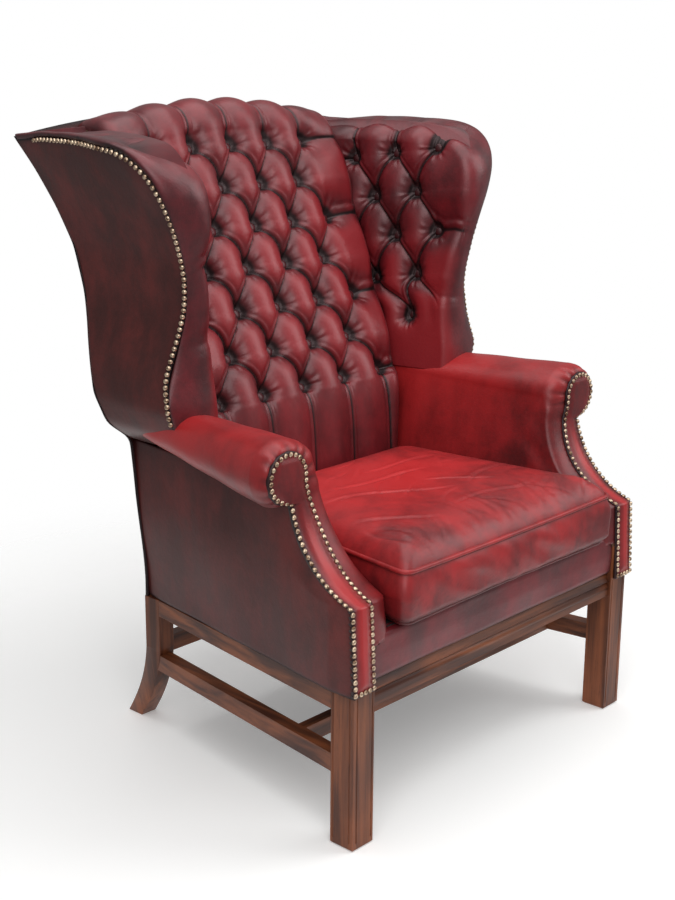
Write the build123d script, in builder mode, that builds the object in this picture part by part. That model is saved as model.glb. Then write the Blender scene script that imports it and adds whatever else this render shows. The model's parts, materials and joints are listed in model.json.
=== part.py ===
from build123d import *
from math import atan, atan2, cos, degrees, hypot, radians, sin, tan
import os

os.makedirs("parts", exist_ok=True)

# Wingback chair in buttoned leather on a mahogany frame.
# Millimetres. +Z is up, the chair faces -Y, and +X is its side on the viewer's right.
# The origin is on the floor under the middle of the chair.

# Driving dimensions of the frame
FRONT_WIDTH = 766.0  # over the outer faces of the front legs
REAR_WIDTH = 632.0  # over the outer faces of the rear legs
LEG_PITCH = 532.0  # from the front legs' front faces to the rear legs'
FRONT_SETBACK = 374.0  # from the front legs' front faces back to the origin
LEG = 48.0  # square section of the front legs
POST_WIDTH = 34.0
POST_DEPTH = 38.0
RAIL_BOTTOM = 232.0
RAIL_TOP = 330.0
RAIL_THICK = 26.0
SHOW_WOOD = 31.0  # height of bare wood under the leather of the sides
LEATHER = 6.0  # leather with the hessian and wadding behind it
CUSHION_GAP = 0.3  # between the loose cushion and what it rests on
OVERRUN = 60.0  # how far cutting shapes run past what they cut

FRONT_Y = -FRONT_SETBACK
REAR_Y = FRONT_Y + LEG_PITCH
LEATHER_BOTTOM = RAIL_BOTTOM + SHOW_WOOD
TAPER = (FRONT_WIDTH - REAR_WIDTH) / 2 / (LEG_PITCH - LEG)
LINING_TAPER = TAPER + LEATHER / (LEG_PITCH - LEG)

# Outside back: one arc in side view, leaning back towards the crest
BACK_TOP = 1062.0
BACK_LEAN = 181.0
BACK_BOW = 34.0  # lean at half height
CREST_RISE = 46.0  # the arched crest, from its ends to its middle

# Sloping face of the buttoned back, and its diamond pattern
FACE_Y = 438.0  # foot of the slope, behind the front legs' front faces
FACE_Z = 609.0
FACE_LEAN_SHARE = 0.4492  # backward per upward millimetre
MIDDLE_Y = 548.0  # the middle of the face, on the crests of its pillows
MIDDLE_Z = 838.6
BUTTON_PITCH = 101.0
BUTTON_ROW = 78.5
BACK_ROWS = 7
BACK_COLUMNS = 5
TUFT_DEPTH = 38.0
TUFT_RISE = 20.0  # how far a pillow stands over its creases
BUTTON_RADIUS = 10.0
BUTTON_THICK = 6.0
BUTTON_SIDES = 8
PAD_TOP = 1129.0
PAD_BOTTOM = 352.0
PAD_BREAK = 585.0  # where the lower, upright part of the back pad ends
PAD_LOW_HALF = 228.0
PAD_HIGH_HALF = 288.0
CROWN_DROP = 37.0  # fall of the crest pad's arch at its ends

# Arms
ARM_LENGTH = 530.0
ROLL_FRONT_X = 412.0
ROLL_REAR_X = 340.0
ROLL_FRONT_Z = 586.0
ROLL_REAR_Z = 605.0
ROLL_FRONT_RADIUS = 66.0
ROLL_REAR_RADIUS = 29.0
ARM_INSIDE_FRONT = 294.0  # half the space between the arms at the seat
ARM_INSIDE_REAR = 232.0
ARM_TOP_FRONT = 332.0  # half the space between the rolls
ARM_TOP_REAR = 275.0
ARM_BOW = 4.0
TUCK_FRONT = 538.0  # where the roll's leather tucks in over the side panel
TUCK_REAR = 566.0
ROLL_SHARES = ((0.225, 0.677), (0.866, 0.5))
ARM_RAIL_Z = 578.0
ARM_RAIL_HEIGHT = 34.0
ARM_RAIL_WIDTH = 28.0
STUMP_IN = 332.0
STUMP_WIDTH = 30.0
STUMP_THICK = 30.0
STUMP_DISC = 33.0
STUMP_NECK_Z = 556.0

# Facings: a strip that sweeps from the front leg up and back to the scroll
FACING_IN = 338.0
FACING_OUT = FRONT_WIDTH / 2 + LEATHER
FACING_WAIST = 331.0
FACING_WAIST_Z = 490.0
FACING_NECK = 351.0
FACING_NECK_Z = 575.0
FACING_BOTTOM = 266.0
FACING_THICK = 10.0
ELBOW_Z = 408.0
ELBOW_Y = 2.0
SWEEP_Z = 550.0
SCROLL_Y = 130.0
SCROLL_X = 394.0
SCROLL_Z = 590.0
SCROLL_RADIUS = 43.0
SWEEP_SHARE = (0.672, 0.38)
SWEEP_OFFSET_SHARES = ((0.8, -0.8), (0.6, -0.6), (1, 0))

# Wings: the outer surface flares at its foot and at its top, less so at the rear
WING_SECTION = 390.0  # where the front flare is measured, behind the front legs' front faces
FLARE_X = 334.0
FLARE_OUT = 118.0
FLARE_Z = 560.0
FLARE_HEIGHT = 518.0
FLARE_SHARES = (
    (0, 0, -0.12),
    (0.41, 0.06, 0.31),
    (0.602, 0.17, 0.504),
    (0.56, 0.251, 0.475),
    (0.441, 0.328, 0.424),
    (0.314, 0.408, 0.356),
    (0.271, 0.492, 0.305),
    (0.348, 0.634, 0.293),
    (0.576, 0.768, 0.407),
    (0.814, 0.882, 0.576),
    (1, 1, 0.788),
)
WING_SIDE_Y = 372.0  # foremost nail edge of the wing, behind the front legs' front faces
WING_SIDE_DEPTH = 380.0
WING_SIDE_SHARES = (
    (0.097, 0),
    (0.05, 0.174),
    (0.079, 0.297),
    (0.037, 0.506),
    (0, 0.739),
    (0.018, 0.849),
    (0.082, 0.925),
    (0.139, 0.958),
    (0.221, 0.979),
    (0.547, 1.002),
    (0.863, 1.002),
    (0.95, 0.996),
    (1, 0.985),
)
WING_IN = 287.0  # half the space between the wings at the middle button
WING_MIDDLE_Y = 523.0
WING_MIDDLE_Z = 864.0
WING_SPLAY = 11.6  # degrees that the inner face opens to the front
WING_TILT = 4.0  # degrees that it leans out
WING_FRONT = 184.0  # from the middle button to the foremost edge
WING_TOP = 228.0  # from the middle button to the top
WING_BOTTOM = 262.0
WING_REAR = 250.0
WING_EDGE_RADIUS = 24.0
WING_EDGE_TURN = 20.0  # degrees
WING_EDGE_SHARES = (
    (0.897, -1.096),
    (0.815, -0.7),
    (0.799, -0.439),
    (0.853, -0.132),
    (0.94, 0.193),
    (1, 0.518),
    (0.913, 0.776),
    (0.777, 0.873),
    (0.598, 0.934),
    (0.217, 0.987),
    (-0.3, 1),
)
WING_PITCH = 91.2
WING_ROW = 79.5
WING_ROW_TILT = 8.7
WING_LEAN = -5.2
WING_DEPTH = 26.0
WING_RISE = 13.0
WING_OFFSET = 7.6
WING_BUTTON_SHARES = (
    *((-1, 2), (0, 2), (1, 2)),
    *((-0.5, 1), (0.5, 1)),
    *((-1, 0), (0, 0), (1, 0)),
    *((-0.5, -1), (0.5, -1)),
    *((-0.45, -2), (0.36, -2)),
)
FRAME_THICK = 20.0
FRAME_TOE = 5.0
FRAME_FRONT = 400.0
FRAME_UPRIGHT = 52.0
FRAME_TOP = 1050.0
FRAME_RAIL = 45.0


def side_x(y, inset=0):
    """Half the width of the tapered seat frame at depth y, less an inset."""
    return FRONT_WIDTH / 2 - TAPER * (y - FRONT_Y - LEG) - inset


def lining_x(y):
    """Half the width inside the leather of the sides at depth y."""
    return FRONT_WIDTH / 2 - LINING_TAPER * (y - FRONT_Y - LEG)


def back_line(inset):
    """Three points, in side view, of the outside back's arc, moved forward by an inset."""
    foot = REAR_Y + POST_DEPTH - inset
    middle = (LEATHER_BOTTOM + BACK_TOP) / 2
    return [(foot, LEATHER_BOTTOM), (foot + BACK_BOW, middle), (foot + BACK_LEAN, BACK_TOP)]


def back_y(z, inset=0):
    """Depth of the outside back's arc at a height, moved forward by an inset."""
    arc = Edge.make_three_point_arc(*back_line(inset))
    centre = arc.arc_center
    return centre.X - (arc.radius**2 - (z - centre.Y) ** 2) ** 0.5


def between(start, end, shares):
    """The point at the given shares of the way from start to end."""
    return (start[0] + (end[0] - start[0]) * shares[0], start[1] + (end[1] - start[1]) * shares[1])


def mix(start, end, share):
    """The value at a share of the way from start to end."""
    return start + (end - start) * share


def arcs(points):
    """Arcs through each point, its next and the one after, end to end."""
    for first in range(0, len(points) - 2, 2):
        ThreePointArc(points[first], points[first + 1], points[first + 2])


def facing_curve(back):
    """The facing's curve in side view, moved back by an amount: elbow, bow, top of the bow, top."""
    elbow = (FRONT_Y + ELBOW_Y, ELBOW_Z)
    top = (FRONT_Y + SCROLL_Y, SWEEP_Z)
    bow = between(elbow, top, SWEEP_SHARE)
    end = (top[0], SCROLL_Z + 2 * SCROLL_RADIUS)
    moves = (*SWEEP_OFFSET_SHARES, SWEEP_OFFSET_SHARES[-1])
    return [(p[0] + m[0] * back, p[1] + m[1] * back) for p, m in zip((elbow, bow, top, end), moves)]


def save(piece, name):
    """Label a finished piece and write it."""
    piece.part.label = name
    export_step(piece.part, f"parts/{name}.step")


def save_pair(right, name):
    """Write the piece of the right side and its mirror image."""
    with BuildPart() as left:
        add(mirror(right.part, about=Plane.YZ))
    save(right, f"{name}_right")
    save(left, f"{name}_left")


# Front legs: square, with scratch beads on the two faces that show
GROOVE_RADIUS = 1.6
CORNER_BEAD = 8.0
EDGE_BEAD = 5.0
FOOT_CHAMFER = 3.0
GROOVE_STOP = 12.0
leg_in = FRONT_WIDTH / 2 - LEG
with BuildPart() as front_leg_right:
    with BuildSketch():
        with Locations((leg_in, FRONT_Y)):
            Rectangle(LEG, LEG, align=Align.MIN)
    extrude(amount=RAIL_TOP)
    chamfer(front_leg_right.edges().group_by(Axis.Z)[0], length=FOOT_CHAMFER)
    with BuildSketch(Plane.XY.offset(GROOVE_STOP)):
        with Locations(
            (leg_in + EDGE_BEAD, FRONT_Y),
            (leg_in + LEG - CORNER_BEAD, FRONT_Y),
            (leg_in + LEG, FRONT_Y + CORNER_BEAD),
            (leg_in + LEG, FRONT_Y + LEG - EDGE_BEAD),
        ):
            Circle(GROOVE_RADIUS)
    extrude(amount=LEATHER_BOTTOM - GROOVE_STOP, mode=Mode.SUBTRACT)
save_pair(front_leg_right, "front_leg")

# Rear posts: a sabre foot, a straight part at the rail and a back upright in one timber
SABRE_TOP = 165.0
SABRE_BACK = 90.0
SABRE_IN = 28.0
SABRE_POWER = 1.6
SABRE_SHARES = (0, 1 / 3, 2 / 3, 1)
POST_TOP = 1020.0
POST_TOP_DEPTH = 24.0
post_in = REAR_WIDTH / 2 - POST_WIDTH
with BuildPart() as rear_post_right:
    for share in SABRE_SHARES:
        drift = share**SABRE_POWER
        with BuildSketch(Plane.XY.offset(SABRE_TOP * (1 - share))):
            with Locations((post_in - SABRE_IN * drift, REAR_Y + SABRE_BACK * drift)):
                Rectangle(POST_WIDTH, POST_DEPTH, align=Align.MIN)
    loft()
    with BuildSketch(Plane.XY.offset(SABRE_TOP)):
        with Locations((post_in, REAR_Y)):
            Rectangle(POST_WIDTH, POST_DEPTH, align=Align.MIN)
    extrude(amount=LEATHER_BOTTOM - SABRE_TOP)
    with BuildSketch(Plane.YZ.offset(post_in)):
        with BuildLine():
            low, middle, high = back_line(LEATHER)
            front_high = (high[0] - POST_TOP_DEPTH, high[1])
            front_middle = (middle[0] - (POST_DEPTH + POST_TOP_DEPTH) / 2, middle[1])
            Line((REAR_Y, LEATHER_BOTTOM), (REAR_Y, RAIL_TOP))
            ThreePointArc((REAR_Y, RAIL_TOP), front_middle, front_high)
            Line(front_high, high)
            ThreePointArc(high, middle, low)
            Line(low, (REAR_Y, LEATHER_BOTTOM))
        make_face()
    extrude(amount=POST_WIDTH - LEATHER)
    split(bisect_by=Plane.XY.offset(POST_TOP), keep=Keep.BOTTOM)
save_pair(rear_post_right, "rear_post")

# Seat rails: tapered side rails, a moulded front rail and a plain rear rail
with BuildPart() as side_rail_right:
    for bottom, height, outer in (
        (RAIL_BOTTOM, SHOW_WOOD, side_x),
        (LEATHER_BOTTOM, RAIL_TOP - LEATHER_BOTTOM, lining_x),
    ):
        with BuildSketch(Plane.XY.offset(bottom)):
            with BuildLine():
                Polyline(
                    (side_x(FRONT_Y + LEG, RAIL_THICK), FRONT_Y + LEG),
                    (outer(FRONT_Y + LEG), FRONT_Y + LEG),
                    (outer(REAR_Y), REAR_Y),
                    (side_x(REAR_Y, RAIL_THICK), REAR_Y),
                    close=True,
                )
            make_face()
        extrude(amount=height)
save_pair(side_rail_right, "side_seat_rail")

FRONT_RAIL_BACK = 44.0
FRONT_RAIL_FACE = 14.0
MOULDING_FACE = 5.0
MOULDING_TOP = 275.0
FASCIA_TOP = 245.0
COVE_TOP = 256.0
BEAD_DEPTH = 4.0
with BuildPart() as front_rail:
    with BuildSketch(Plane.YZ.offset(-leg_in)):
        with BuildLine():
            Polyline(
                (FRONT_Y + FRONT_RAIL_FACE, MOULDING_TOP),
                (FRONT_Y + FRONT_RAIL_FACE, RAIL_TOP),
                (FRONT_Y + FRONT_RAIL_BACK, RAIL_TOP),
                (FRONT_Y + FRONT_RAIL_BACK, RAIL_BOTTOM),
                (FRONT_Y + MOULDING_FACE, RAIL_BOTTOM),
                (FRONT_Y + MOULDING_FACE, FASCIA_TOP),
            )
            RadiusArc(
                (FRONT_Y + MOULDING_FACE, FASCIA_TOP),
                (FRONT_Y + MOULDING_FACE + BEAD_DEPTH, COVE_TOP),
                COVE_TOP - FASCIA_TOP,
            )
            Line(
                (FRONT_Y + MOULDING_FACE + BEAD_DEPTH, COVE_TOP),
                (FRONT_Y + MOULDING_FACE, COVE_TOP + BEAD_DEPTH),
            )
            Line(
                (FRONT_Y + MOULDING_FACE, COVE_TOP + BEAD_DEPTH),
                (FRONT_Y + FRONT_RAIL_FACE, MOULDING_TOP),
            )
        make_face()
    extrude(amount=2 * leg_in)
save(front_rail, "front_seat_rail")

REAR_RAIL_SET = 8.0
REAR_RAIL_THICK = 20.0
with BuildPart() as rear_rail:
    with BuildSketch(Plane.XY.offset(RAIL_BOTTOM)):
        with Locations((0, REAR_Y + REAR_RAIL_SET)):
            Rectangle(2 * post_in, REAR_RAIL_THICK, align=(Align.CENTER, Align.MIN))
    extrude(amount=RAIL_TOP - RAIL_BOTTOM)
save(rear_rail, "rear_seat_rail")

# Corner blocks glued inside the four corners of the seat frame
BLOCK_RUN = 80.0
BLOCK_HEIGHT = 60.0
rail_in = side_x(FRONT_Y + LEG, RAIL_THICK)
with BuildPart() as corner_blocks:
    with BuildSketch(Plane.XY.offset(RAIL_TOP - BLOCK_HEIGHT)):
        with BuildLine():
            Polyline(
                (leg_in - BLOCK_RUN, FRONT_Y + FRONT_RAIL_BACK),
                (leg_in, FRONT_Y + FRONT_RAIL_BACK),
                (leg_in, FRONT_Y + LEG),
                (rail_in, FRONT_Y + LEG),
                (side_x(FRONT_Y + LEG + BLOCK_RUN, RAIL_THICK), FRONT_Y + LEG + BLOCK_RUN),
                close=True,
            )
        make_face()
        with BuildLine():
            Polyline(
                (post_in - BLOCK_RUN, REAR_Y + REAR_RAIL_SET),
                (post_in, REAR_Y + REAR_RAIL_SET),
                (post_in, REAR_Y),
                (side_x(REAR_Y, RAIL_THICK), REAR_Y),
                (side_x(REAR_Y - BLOCK_RUN, RAIL_THICK), REAR_Y - BLOCK_RUN),
                close=True,
            )
        make_face()
    extrude(amount=BLOCK_HEIGHT)
    mirror(about=Plane.YZ)
save(corner_blocks, "corner_blocks")

# Stretchers: one each side, one across between them and a higher one at the rear
STRETCHER_BOTTOM = 124.0
STRETCHER_HEIGHT = 31.0
STRETCHER_THICK = 26.0
STRETCHER_INSET = 1.5
with BuildPart() as side_stretcher_right:
    with BuildSketch(Plane.XY.offset(STRETCHER_BOTTOM)):
        with BuildLine():
            rear_end = REAR_Y + POST_DEPTH / 2
            Polyline(
                (side_x(FRONT_Y + LEG, STRETCHER_INSET + STRETCHER_THICK), FRONT_Y + LEG),
                (side_x(FRONT_Y + LEG, STRETCHER_INSET), FRONT_Y + LEG),
                (side_x(rear_end, STRETCHER_INSET), rear_end),
                (side_x(rear_end, STRETCHER_INSET + STRETCHER_THICK), rear_end),
                close=True,
            )
        make_face()
    extrude(amount=STRETCHER_HEIGHT)
    add(rear_post_right.part, mode=Mode.SUBTRACT)
save_pair(side_stretcher_right, "side_stretcher")

CROSS_FRONT = 140.0
CROSS_THICK = 20.0
cross_y = FRONT_Y + CROSS_FRONT
cross_inset = STRETCHER_INSET + STRETCHER_THICK
with BuildPart() as cross_stretcher:
    with BuildSketch(Plane.XY.offset(STRETCHER_BOTTOM)):
        with BuildLine():
            Polyline(
                (-side_x(cross_y, cross_inset), cross_y),
                (side_x(cross_y, cross_inset), cross_y),
                (side_x(cross_y + CROSS_THICK, cross_inset), cross_y + CROSS_THICK),
                (-side_x(cross_y + CROSS_THICK, cross_inset), cross_y + CROSS_THICK),
                close=True,
            )
        make_face()
    extrude(amount=STRETCHER_HEIGHT)
save(cross_stretcher, "cross_stretcher")

REAR_STRETCHER_BOTTOM = 153.0
REAR_STRETCHER_THICK = 22.0
with BuildPart() as rear_stretcher:
    with BuildSketch(Plane.XY.offset(REAR_STRETCHER_BOTTOM)):
        with Locations((0, REAR_Y + REAR_RAIL_SET)):
            Rectangle(REAR_WIDTH - POST_WIDTH, REAR_STRETCHER_THICK, align=(Align.CENTER, Align.MIN))
    extrude(amount=STRETCHER_HEIGHT)
    add(rear_post_right.part, mode=Mode.SUBTRACT)
    add(mirror(rear_post_right.part, about=Plane.YZ), mode=Mode.SUBTRACT)
save(rear_stretcher, "rear_stretcher")

# Back frame: an arched crest rail on top of the posts and a low rail between them
CREST_BOTTOM = POST_TOP
CREST_THICK = 24.0
CREST_HALF = 394.0
crest_radius = (CREST_HALF**2 + CREST_RISE**2) / (2 * CREST_RISE)


def arch(half, top):
    """Three points of the crest's arch, for an outline in front view."""
    drop = half**2 / (2 * crest_radius)
    return [(-half, top - drop), (0, top), (half, top - drop)]


with BuildPart() as crest_rail:
    with BuildSketch(Plane.YZ.offset(-CREST_HALF)):
        with BuildLine():
            rear = back_line(LEATHER)
            front = back_line(LEATHER + CREST_THICK)
            rise = (CREST_RISE * BACK_LEAN / (BACK_TOP - LEATHER_BOTTOM) * 2, CREST_RISE)
            rear_top = (rear[2][0] + rise[0], rear[2][1] + rise[1])
            front_top = (front[2][0] + rise[0], front[2][1] + rise[1])
            ThreePointArc(*rear)
            Line(rear[2], rear_top)
            Line(rear_top, front_top)
            Line(front_top, front[2])
            ThreePointArc(*front[::-1])
            Line(front[0], rear[0])
        make_face()
    extrude(amount=2 * CREST_HALF)
    with BuildSketch(Plane.XZ.offset(-OVERRUN)):
        with BuildLine():
            ends = arch(CREST_HALF, BACK_TOP + CREST_RISE - LEATHER)
            ThreePointArc(*ends)
            Polyline(ends[2], (CREST_HALF, CREST_BOTTOM), (-CREST_HALF, CREST_BOTTOM), ends[0])
        make_face()
    extrude(amount=-2 * FRONT_SETBACK, mode=Mode.INTERSECT)
save(crest_rail, "crest_rail")

STAY_Z = 385.0
STAY_HEIGHT = 45.0
STAY_THICK = 28.0
WEB_LOW_Y = 515.0
with BuildPart() as stay_rail:
    with BuildSketch(Plane.XY.offset(STAY_Z)):
        with Locations((0, FRONT_Y + WEB_LOW_Y)):
            Rectangle(2 * post_in, STAY_THICK, align=(Align.CENTER, Align.MIN))
    extrude(amount=STAY_HEIGHT)
save(stay_rail, "stay_rail")

# Seat: elastic straps over the rails, the deck that the cushion lies on, and a dust cover
STRAP_WIDTH = 50.0
STRAP_THICK = 2.0
STRAP_PITCH = 95.0
SEAT_STRAPS = 5
with BuildPart() as seat_webbing:
    with BuildSketch(Plane.XY.offset(RAIL_TOP)):
        strap_end = REAR_Y + REAR_RAIL_SET + REAR_RAIL_THICK
        with Locations((0, (FRONT_Y + FRONT_RAIL_FACE + strap_end) / 2)):
            with GridLocations(STRAP_PITCH, 0, SEAT_STRAPS, 1):
                Rectangle(STRAP_WIDTH, strap_end - FRONT_Y - FRONT_RAIL_FACE)
    extrude(amount=STRAP_THICK)
save(seat_webbing, "seat_webbing")

DECK_TOP = 351.0
DECK_REAR = 430.0
arm_taper = (ARM_INSIDE_FRONT - ARM_INSIDE_REAR) / ARM_LENGTH
with BuildPart() as seat_deck:
    with BuildSketch(Plane.XY.offset(RAIL_TOP + STRAP_THICK)):
        with BuildLine():
            deck_front = ARM_INSIDE_FRONT - arm_taper * FRONT_RAIL_FACE
            deck_rear = ARM_INSIDE_FRONT - arm_taper * DECK_REAR
            Polyline(
                (-deck_front, FRONT_Y + FRONT_RAIL_FACE),
                (deck_front, FRONT_Y + FRONT_RAIL_FACE),
                (deck_rear, FRONT_Y + DECK_REAR),
                (-deck_rear, FRONT_Y + DECK_REAR),
                close=True,
            )
        make_face()
    extrude(amount=DECK_TOP - RAIL_TOP - STRAP_THICK)
save(seat_deck, "seat_deck")

COVER_THICK = 1.5
COVER_INSET = 8.0
COVER_CLEAR = 2.0
with BuildPart() as dust_cover:
    with BuildSketch(Plane.XY.offset(RAIL_BOTTOM)):
        with BuildLine():
            front_end = FRONT_Y + LEG + COVER_CLEAR
            rear_end = REAR_Y - COVER_CLEAR
            Polyline(
                (leg_in - COVER_CLEAR, FRONT_Y + MOULDING_FACE + COVER_INSET),
                (leg_in - COVER_CLEAR, front_end),
                (side_x(front_end, COVER_INSET), front_end),
                (side_x(rear_end, COVER_INSET), rear_end),
                (post_in - COVER_CLEAR, rear_end),
                (post_in - COVER_CLEAR, REAR_Y + REAR_RAIL_SET + REAR_RAIL_THICK - COVER_INSET),
                (0, REAR_Y + REAR_RAIL_SET + REAR_RAIL_THICK - COVER_INSET),
                (0, FRONT_Y + MOULDING_FACE + COVER_INSET),
                close=True,
            )
        make_face()
        mirror(about=Plane.YZ)
    extrude(amount=-COVER_THICK)
save(dust_cover, "dust_cover")

# Border: leather over the front rail, up to the level of the deck
BORDER_THICK = 9.0
BORDER_ROUND = 4.0
with BuildPart() as front_border:
    with BuildSketch(Plane.YZ.offset(-leg_in)):
        with Locations((FRONT_Y + FRONT_RAIL_FACE, MOULDING_TOP)):
            Rectangle(BORDER_THICK, DECK_TOP - MOULDING_TOP, align=(Align.MAX, Align.MIN))
    extrude(amount=2 * leg_in)
    fillet(front_border.edges().filter_by(Axis.X).group_by(Axis.Z)[-1], radius=BORDER_ROUND)
save(front_border, "front_border")

# Back webbing: straps from the front of the stay rail up to the front of the crest rail
BACK_STRAPS = 5
BACK_STRAP_LAP = 30.0
stay_front = FRONT_Y + WEB_LOW_Y
crest_front = back_y(CREST_BOTTOM, LEATHER + CREST_THICK)
lap_front = back_y(CREST_BOTTOM + BACK_STRAP_LAP, LEATHER + CREST_THICK)
with BuildPart() as back_webbing:
    for column in range(BACK_STRAPS):
        strap_x = STRAP_PITCH * (column - (BACK_STRAPS - 1) / 2) - STRAP_WIDTH / 2
        with BuildSketch(Plane.YZ.offset(strap_x)):
            with BuildLine():
                Polyline(
                    (stay_front, STAY_Z + STAY_HEIGHT - BACK_STRAP_LAP),
                    (stay_front, STAY_Z + STAY_HEIGHT),
                    (crest_front, CREST_BOTTOM),
                    (lap_front, CREST_BOTTOM + BACK_STRAP_LAP),
                    (lap_front - STRAP_THICK, CREST_BOTTOM + BACK_STRAP_LAP),
                    (crest_front - STRAP_THICK, CREST_BOTTOM),
                    (stay_front - STRAP_THICK, STAY_Z + STAY_HEIGHT),
                    (stay_front - STRAP_THICK, STAY_Z + STAY_HEIGHT - BACK_STRAP_LAP),
                    close=True,
                )
            make_face()
        extrude(amount=STRAP_WIDTH)
    add(crest_rail.part, mode=Mode.SUBTRACT)
save(back_webbing, "back_webbing")

# Arm stumps behind the facings, standing on the front legs, and the rails behind them
facing_front = facing_curve(0)
facing_rear = facing_curve(FACING_THICK)
stump_rear = facing_curve(FACING_THICK + STUMP_THICK)
with BuildPart() as arm_stump_right:
    with BuildSketch(Plane.YZ.offset(STUMP_IN - STUMP_WIDTH)):
        with BuildLine():
            Polyline((stump_rear[0][0], RAIL_TOP), (FRONT_Y, RAIL_TOP), facing_rear[0])
            arcs(facing_rear[:3])
            Polyline(facing_rear[2], facing_rear[3], stump_rear[3], stump_rear[2])
            arcs(stump_rear[2::-1])
            Line(stump_rear[0], (stump_rear[0][0], RAIL_TOP))
        make_face()
    extrude(amount=FRONT_WIDTH)
    add(front_border.part, mode=Mode.SUBTRACT)
    with BuildSketch(Plane.XZ):
        with Locations((STUMP_IN, RAIL_TOP)):
            Rectangle(STUMP_WIDTH, SCROLL_Z - RAIL_TOP, align=Align.MIN)
        with Locations((STUMP_IN, STUMP_NECK_Z)):
            Rectangle(SCROLL_X - STUMP_IN, SCROLL_Z - STUMP_NECK_Z, align=Align.MIN)
        with Locations((SCROLL_X, SCROLL_Z)):
            Circle(STUMP_DISC)
    extrude(amount=2 * FRONT_SETBACK, both=True, mode=Mode.INTERSECT)
save_pair(arm_stump_right, "arm_stump")

post_out = REAR_WIDTH / 2 - LEATHER
rail_start = FRONT_Y + SCROLL_Y + FACING_THICK + STUMP_THICK
rail_end = FRONT_Y + ARM_LENGTH + POST_DEPTH
with BuildPart() as arm_rail_right:
    with BuildSketch(Plane.XY.offset(ARM_RAIL_Z)):
        with BuildLine():
            Polyline(
                (SCROLL_X - ARM_RAIL_WIDTH / 2, rail_start),
                (SCROLL_X + ARM_RAIL_WIDTH / 2, rail_start),
                (post_out + ARM_RAIL_WIDTH, rail_end),
                (post_out, rail_end),
                (post_out, rail_end - POST_DEPTH),
                close=True,
            )
        make_face()
    extrude(amount=ARM_RAIL_HEIGHT)
    add(rear_post_right.part, mode=Mode.SUBTRACT)
    chamfer(arm_rail_right.edges().group_by(Axis.Z)[0].sort_by(SortBy.LENGTH)[-1], length=2 * LEATHER)
save_pair(arm_rail_right, "arm_rail")

# Facings
with BuildPart() as arm_facing_right:
    with BuildSketch(Plane.YZ):
        with BuildLine():
            foot = FRONT_Y - LEATHER
            Polyline(facing_front[0], (foot, FACING_BOTTOM), (FRONT_Y, FACING_BOTTOM))
            Polyline((FRONT_Y, FACING_BOTTOM), (FRONT_Y, RAIL_TOP), facing_rear[0])
            arcs(facing_rear[:3])
            Polyline(facing_rear[2], facing_rear[3], facing_front[3], facing_front[2])
            arcs(facing_front[2::-1])
        make_face()
    extrude(amount=FRONT_WIDTH)
    with BuildSketch(Plane.XZ):
        with BuildLine():
            Polyline(
                (SCROLL_X, SCROLL_Z),
                (FACING_OUT, SWEEP_Z),
                (FACING_OUT, FACING_BOTTOM),
                (FACING_IN, FACING_BOTTOM),
                (FACING_IN, ELBOW_Z),
            )
            ThreePointArc((FACING_IN, ELBOW_Z), (FACING_WAIST, FACING_WAIST_Z), (FACING_NECK, FACING_NECK_Z))
            Line((FACING_NECK, FACING_NECK_Z), (SCROLL_X, SCROLL_Z))
        make_face()
        with Locations((SCROLL_X, SCROLL_Z)):
            Circle(SCROLL_RADIUS)
    extrude(amount=2 * FRONT_SETBACK, both=True, mode=Mode.INTERSECT)
save_pair(arm_facing_right, "arm_facing")

# Side panels: leather from the bare rail up to the roll of the arm
with BuildPart() as side_panel_right:
    with BuildSketch(Plane.XY.offset(LEATHER_BOTTOM)):
        with BuildLine():
            panel_end = REAR_Y + 2 * POST_DEPTH
            Polyline(
                (FRONT_WIDTH / 2, FRONT_Y),
                (FRONT_WIDTH / 2 + LEATHER, FRONT_Y),
                (FRONT_WIDTH / 2 + LEATHER, FRONT_Y + LEG),
                (REAR_WIDTH / 2, REAR_Y),
                (REAR_WIDTH / 2, panel_end),
                (post_out, panel_end),
                (post_out, REAR_Y),
                (FRONT_WIDTH / 2, FRONT_Y + LEG),
                close=True,
            )
        make_face()
    extrude(amount=SCROLL_Z - LEATHER_BOTTOM)
    with BuildSketch(Plane.YZ):
        with BuildLine():
            corner = (FRONT_Y, LEATHER_BOTTOM)
            Polyline((panel_end, LEATHER_BOTTOM), corner, (FRONT_Y, RAIL_TOP), facing_rear[0])
            arcs(facing_rear[:3])
            Line(facing_rear[2], (panel_end, FLARE_Z))
            Line((panel_end, FLARE_Z), (panel_end, LEATHER_BOTTOM))
        make_face()
    extrude(amount=FRONT_WIDTH, mode=Mode.INTERSECT)
    with BuildSketch(Plane.YZ):
        with BuildLine():
            ThreePointArc(*back_line(LEATHER))
            low, middle, high = back_line(LEATHER)
            under = low[1] - OVERRUN
            Polyline(high, (high[0] + OVERRUN, high[1]), (high[0] + OVERRUN, under), (low[0], under), low)
        make_face()
    extrude(amount=FRONT_WIDTH, mode=Mode.SUBTRACT)
save_pair(side_panel_right, "side_panel")

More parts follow.
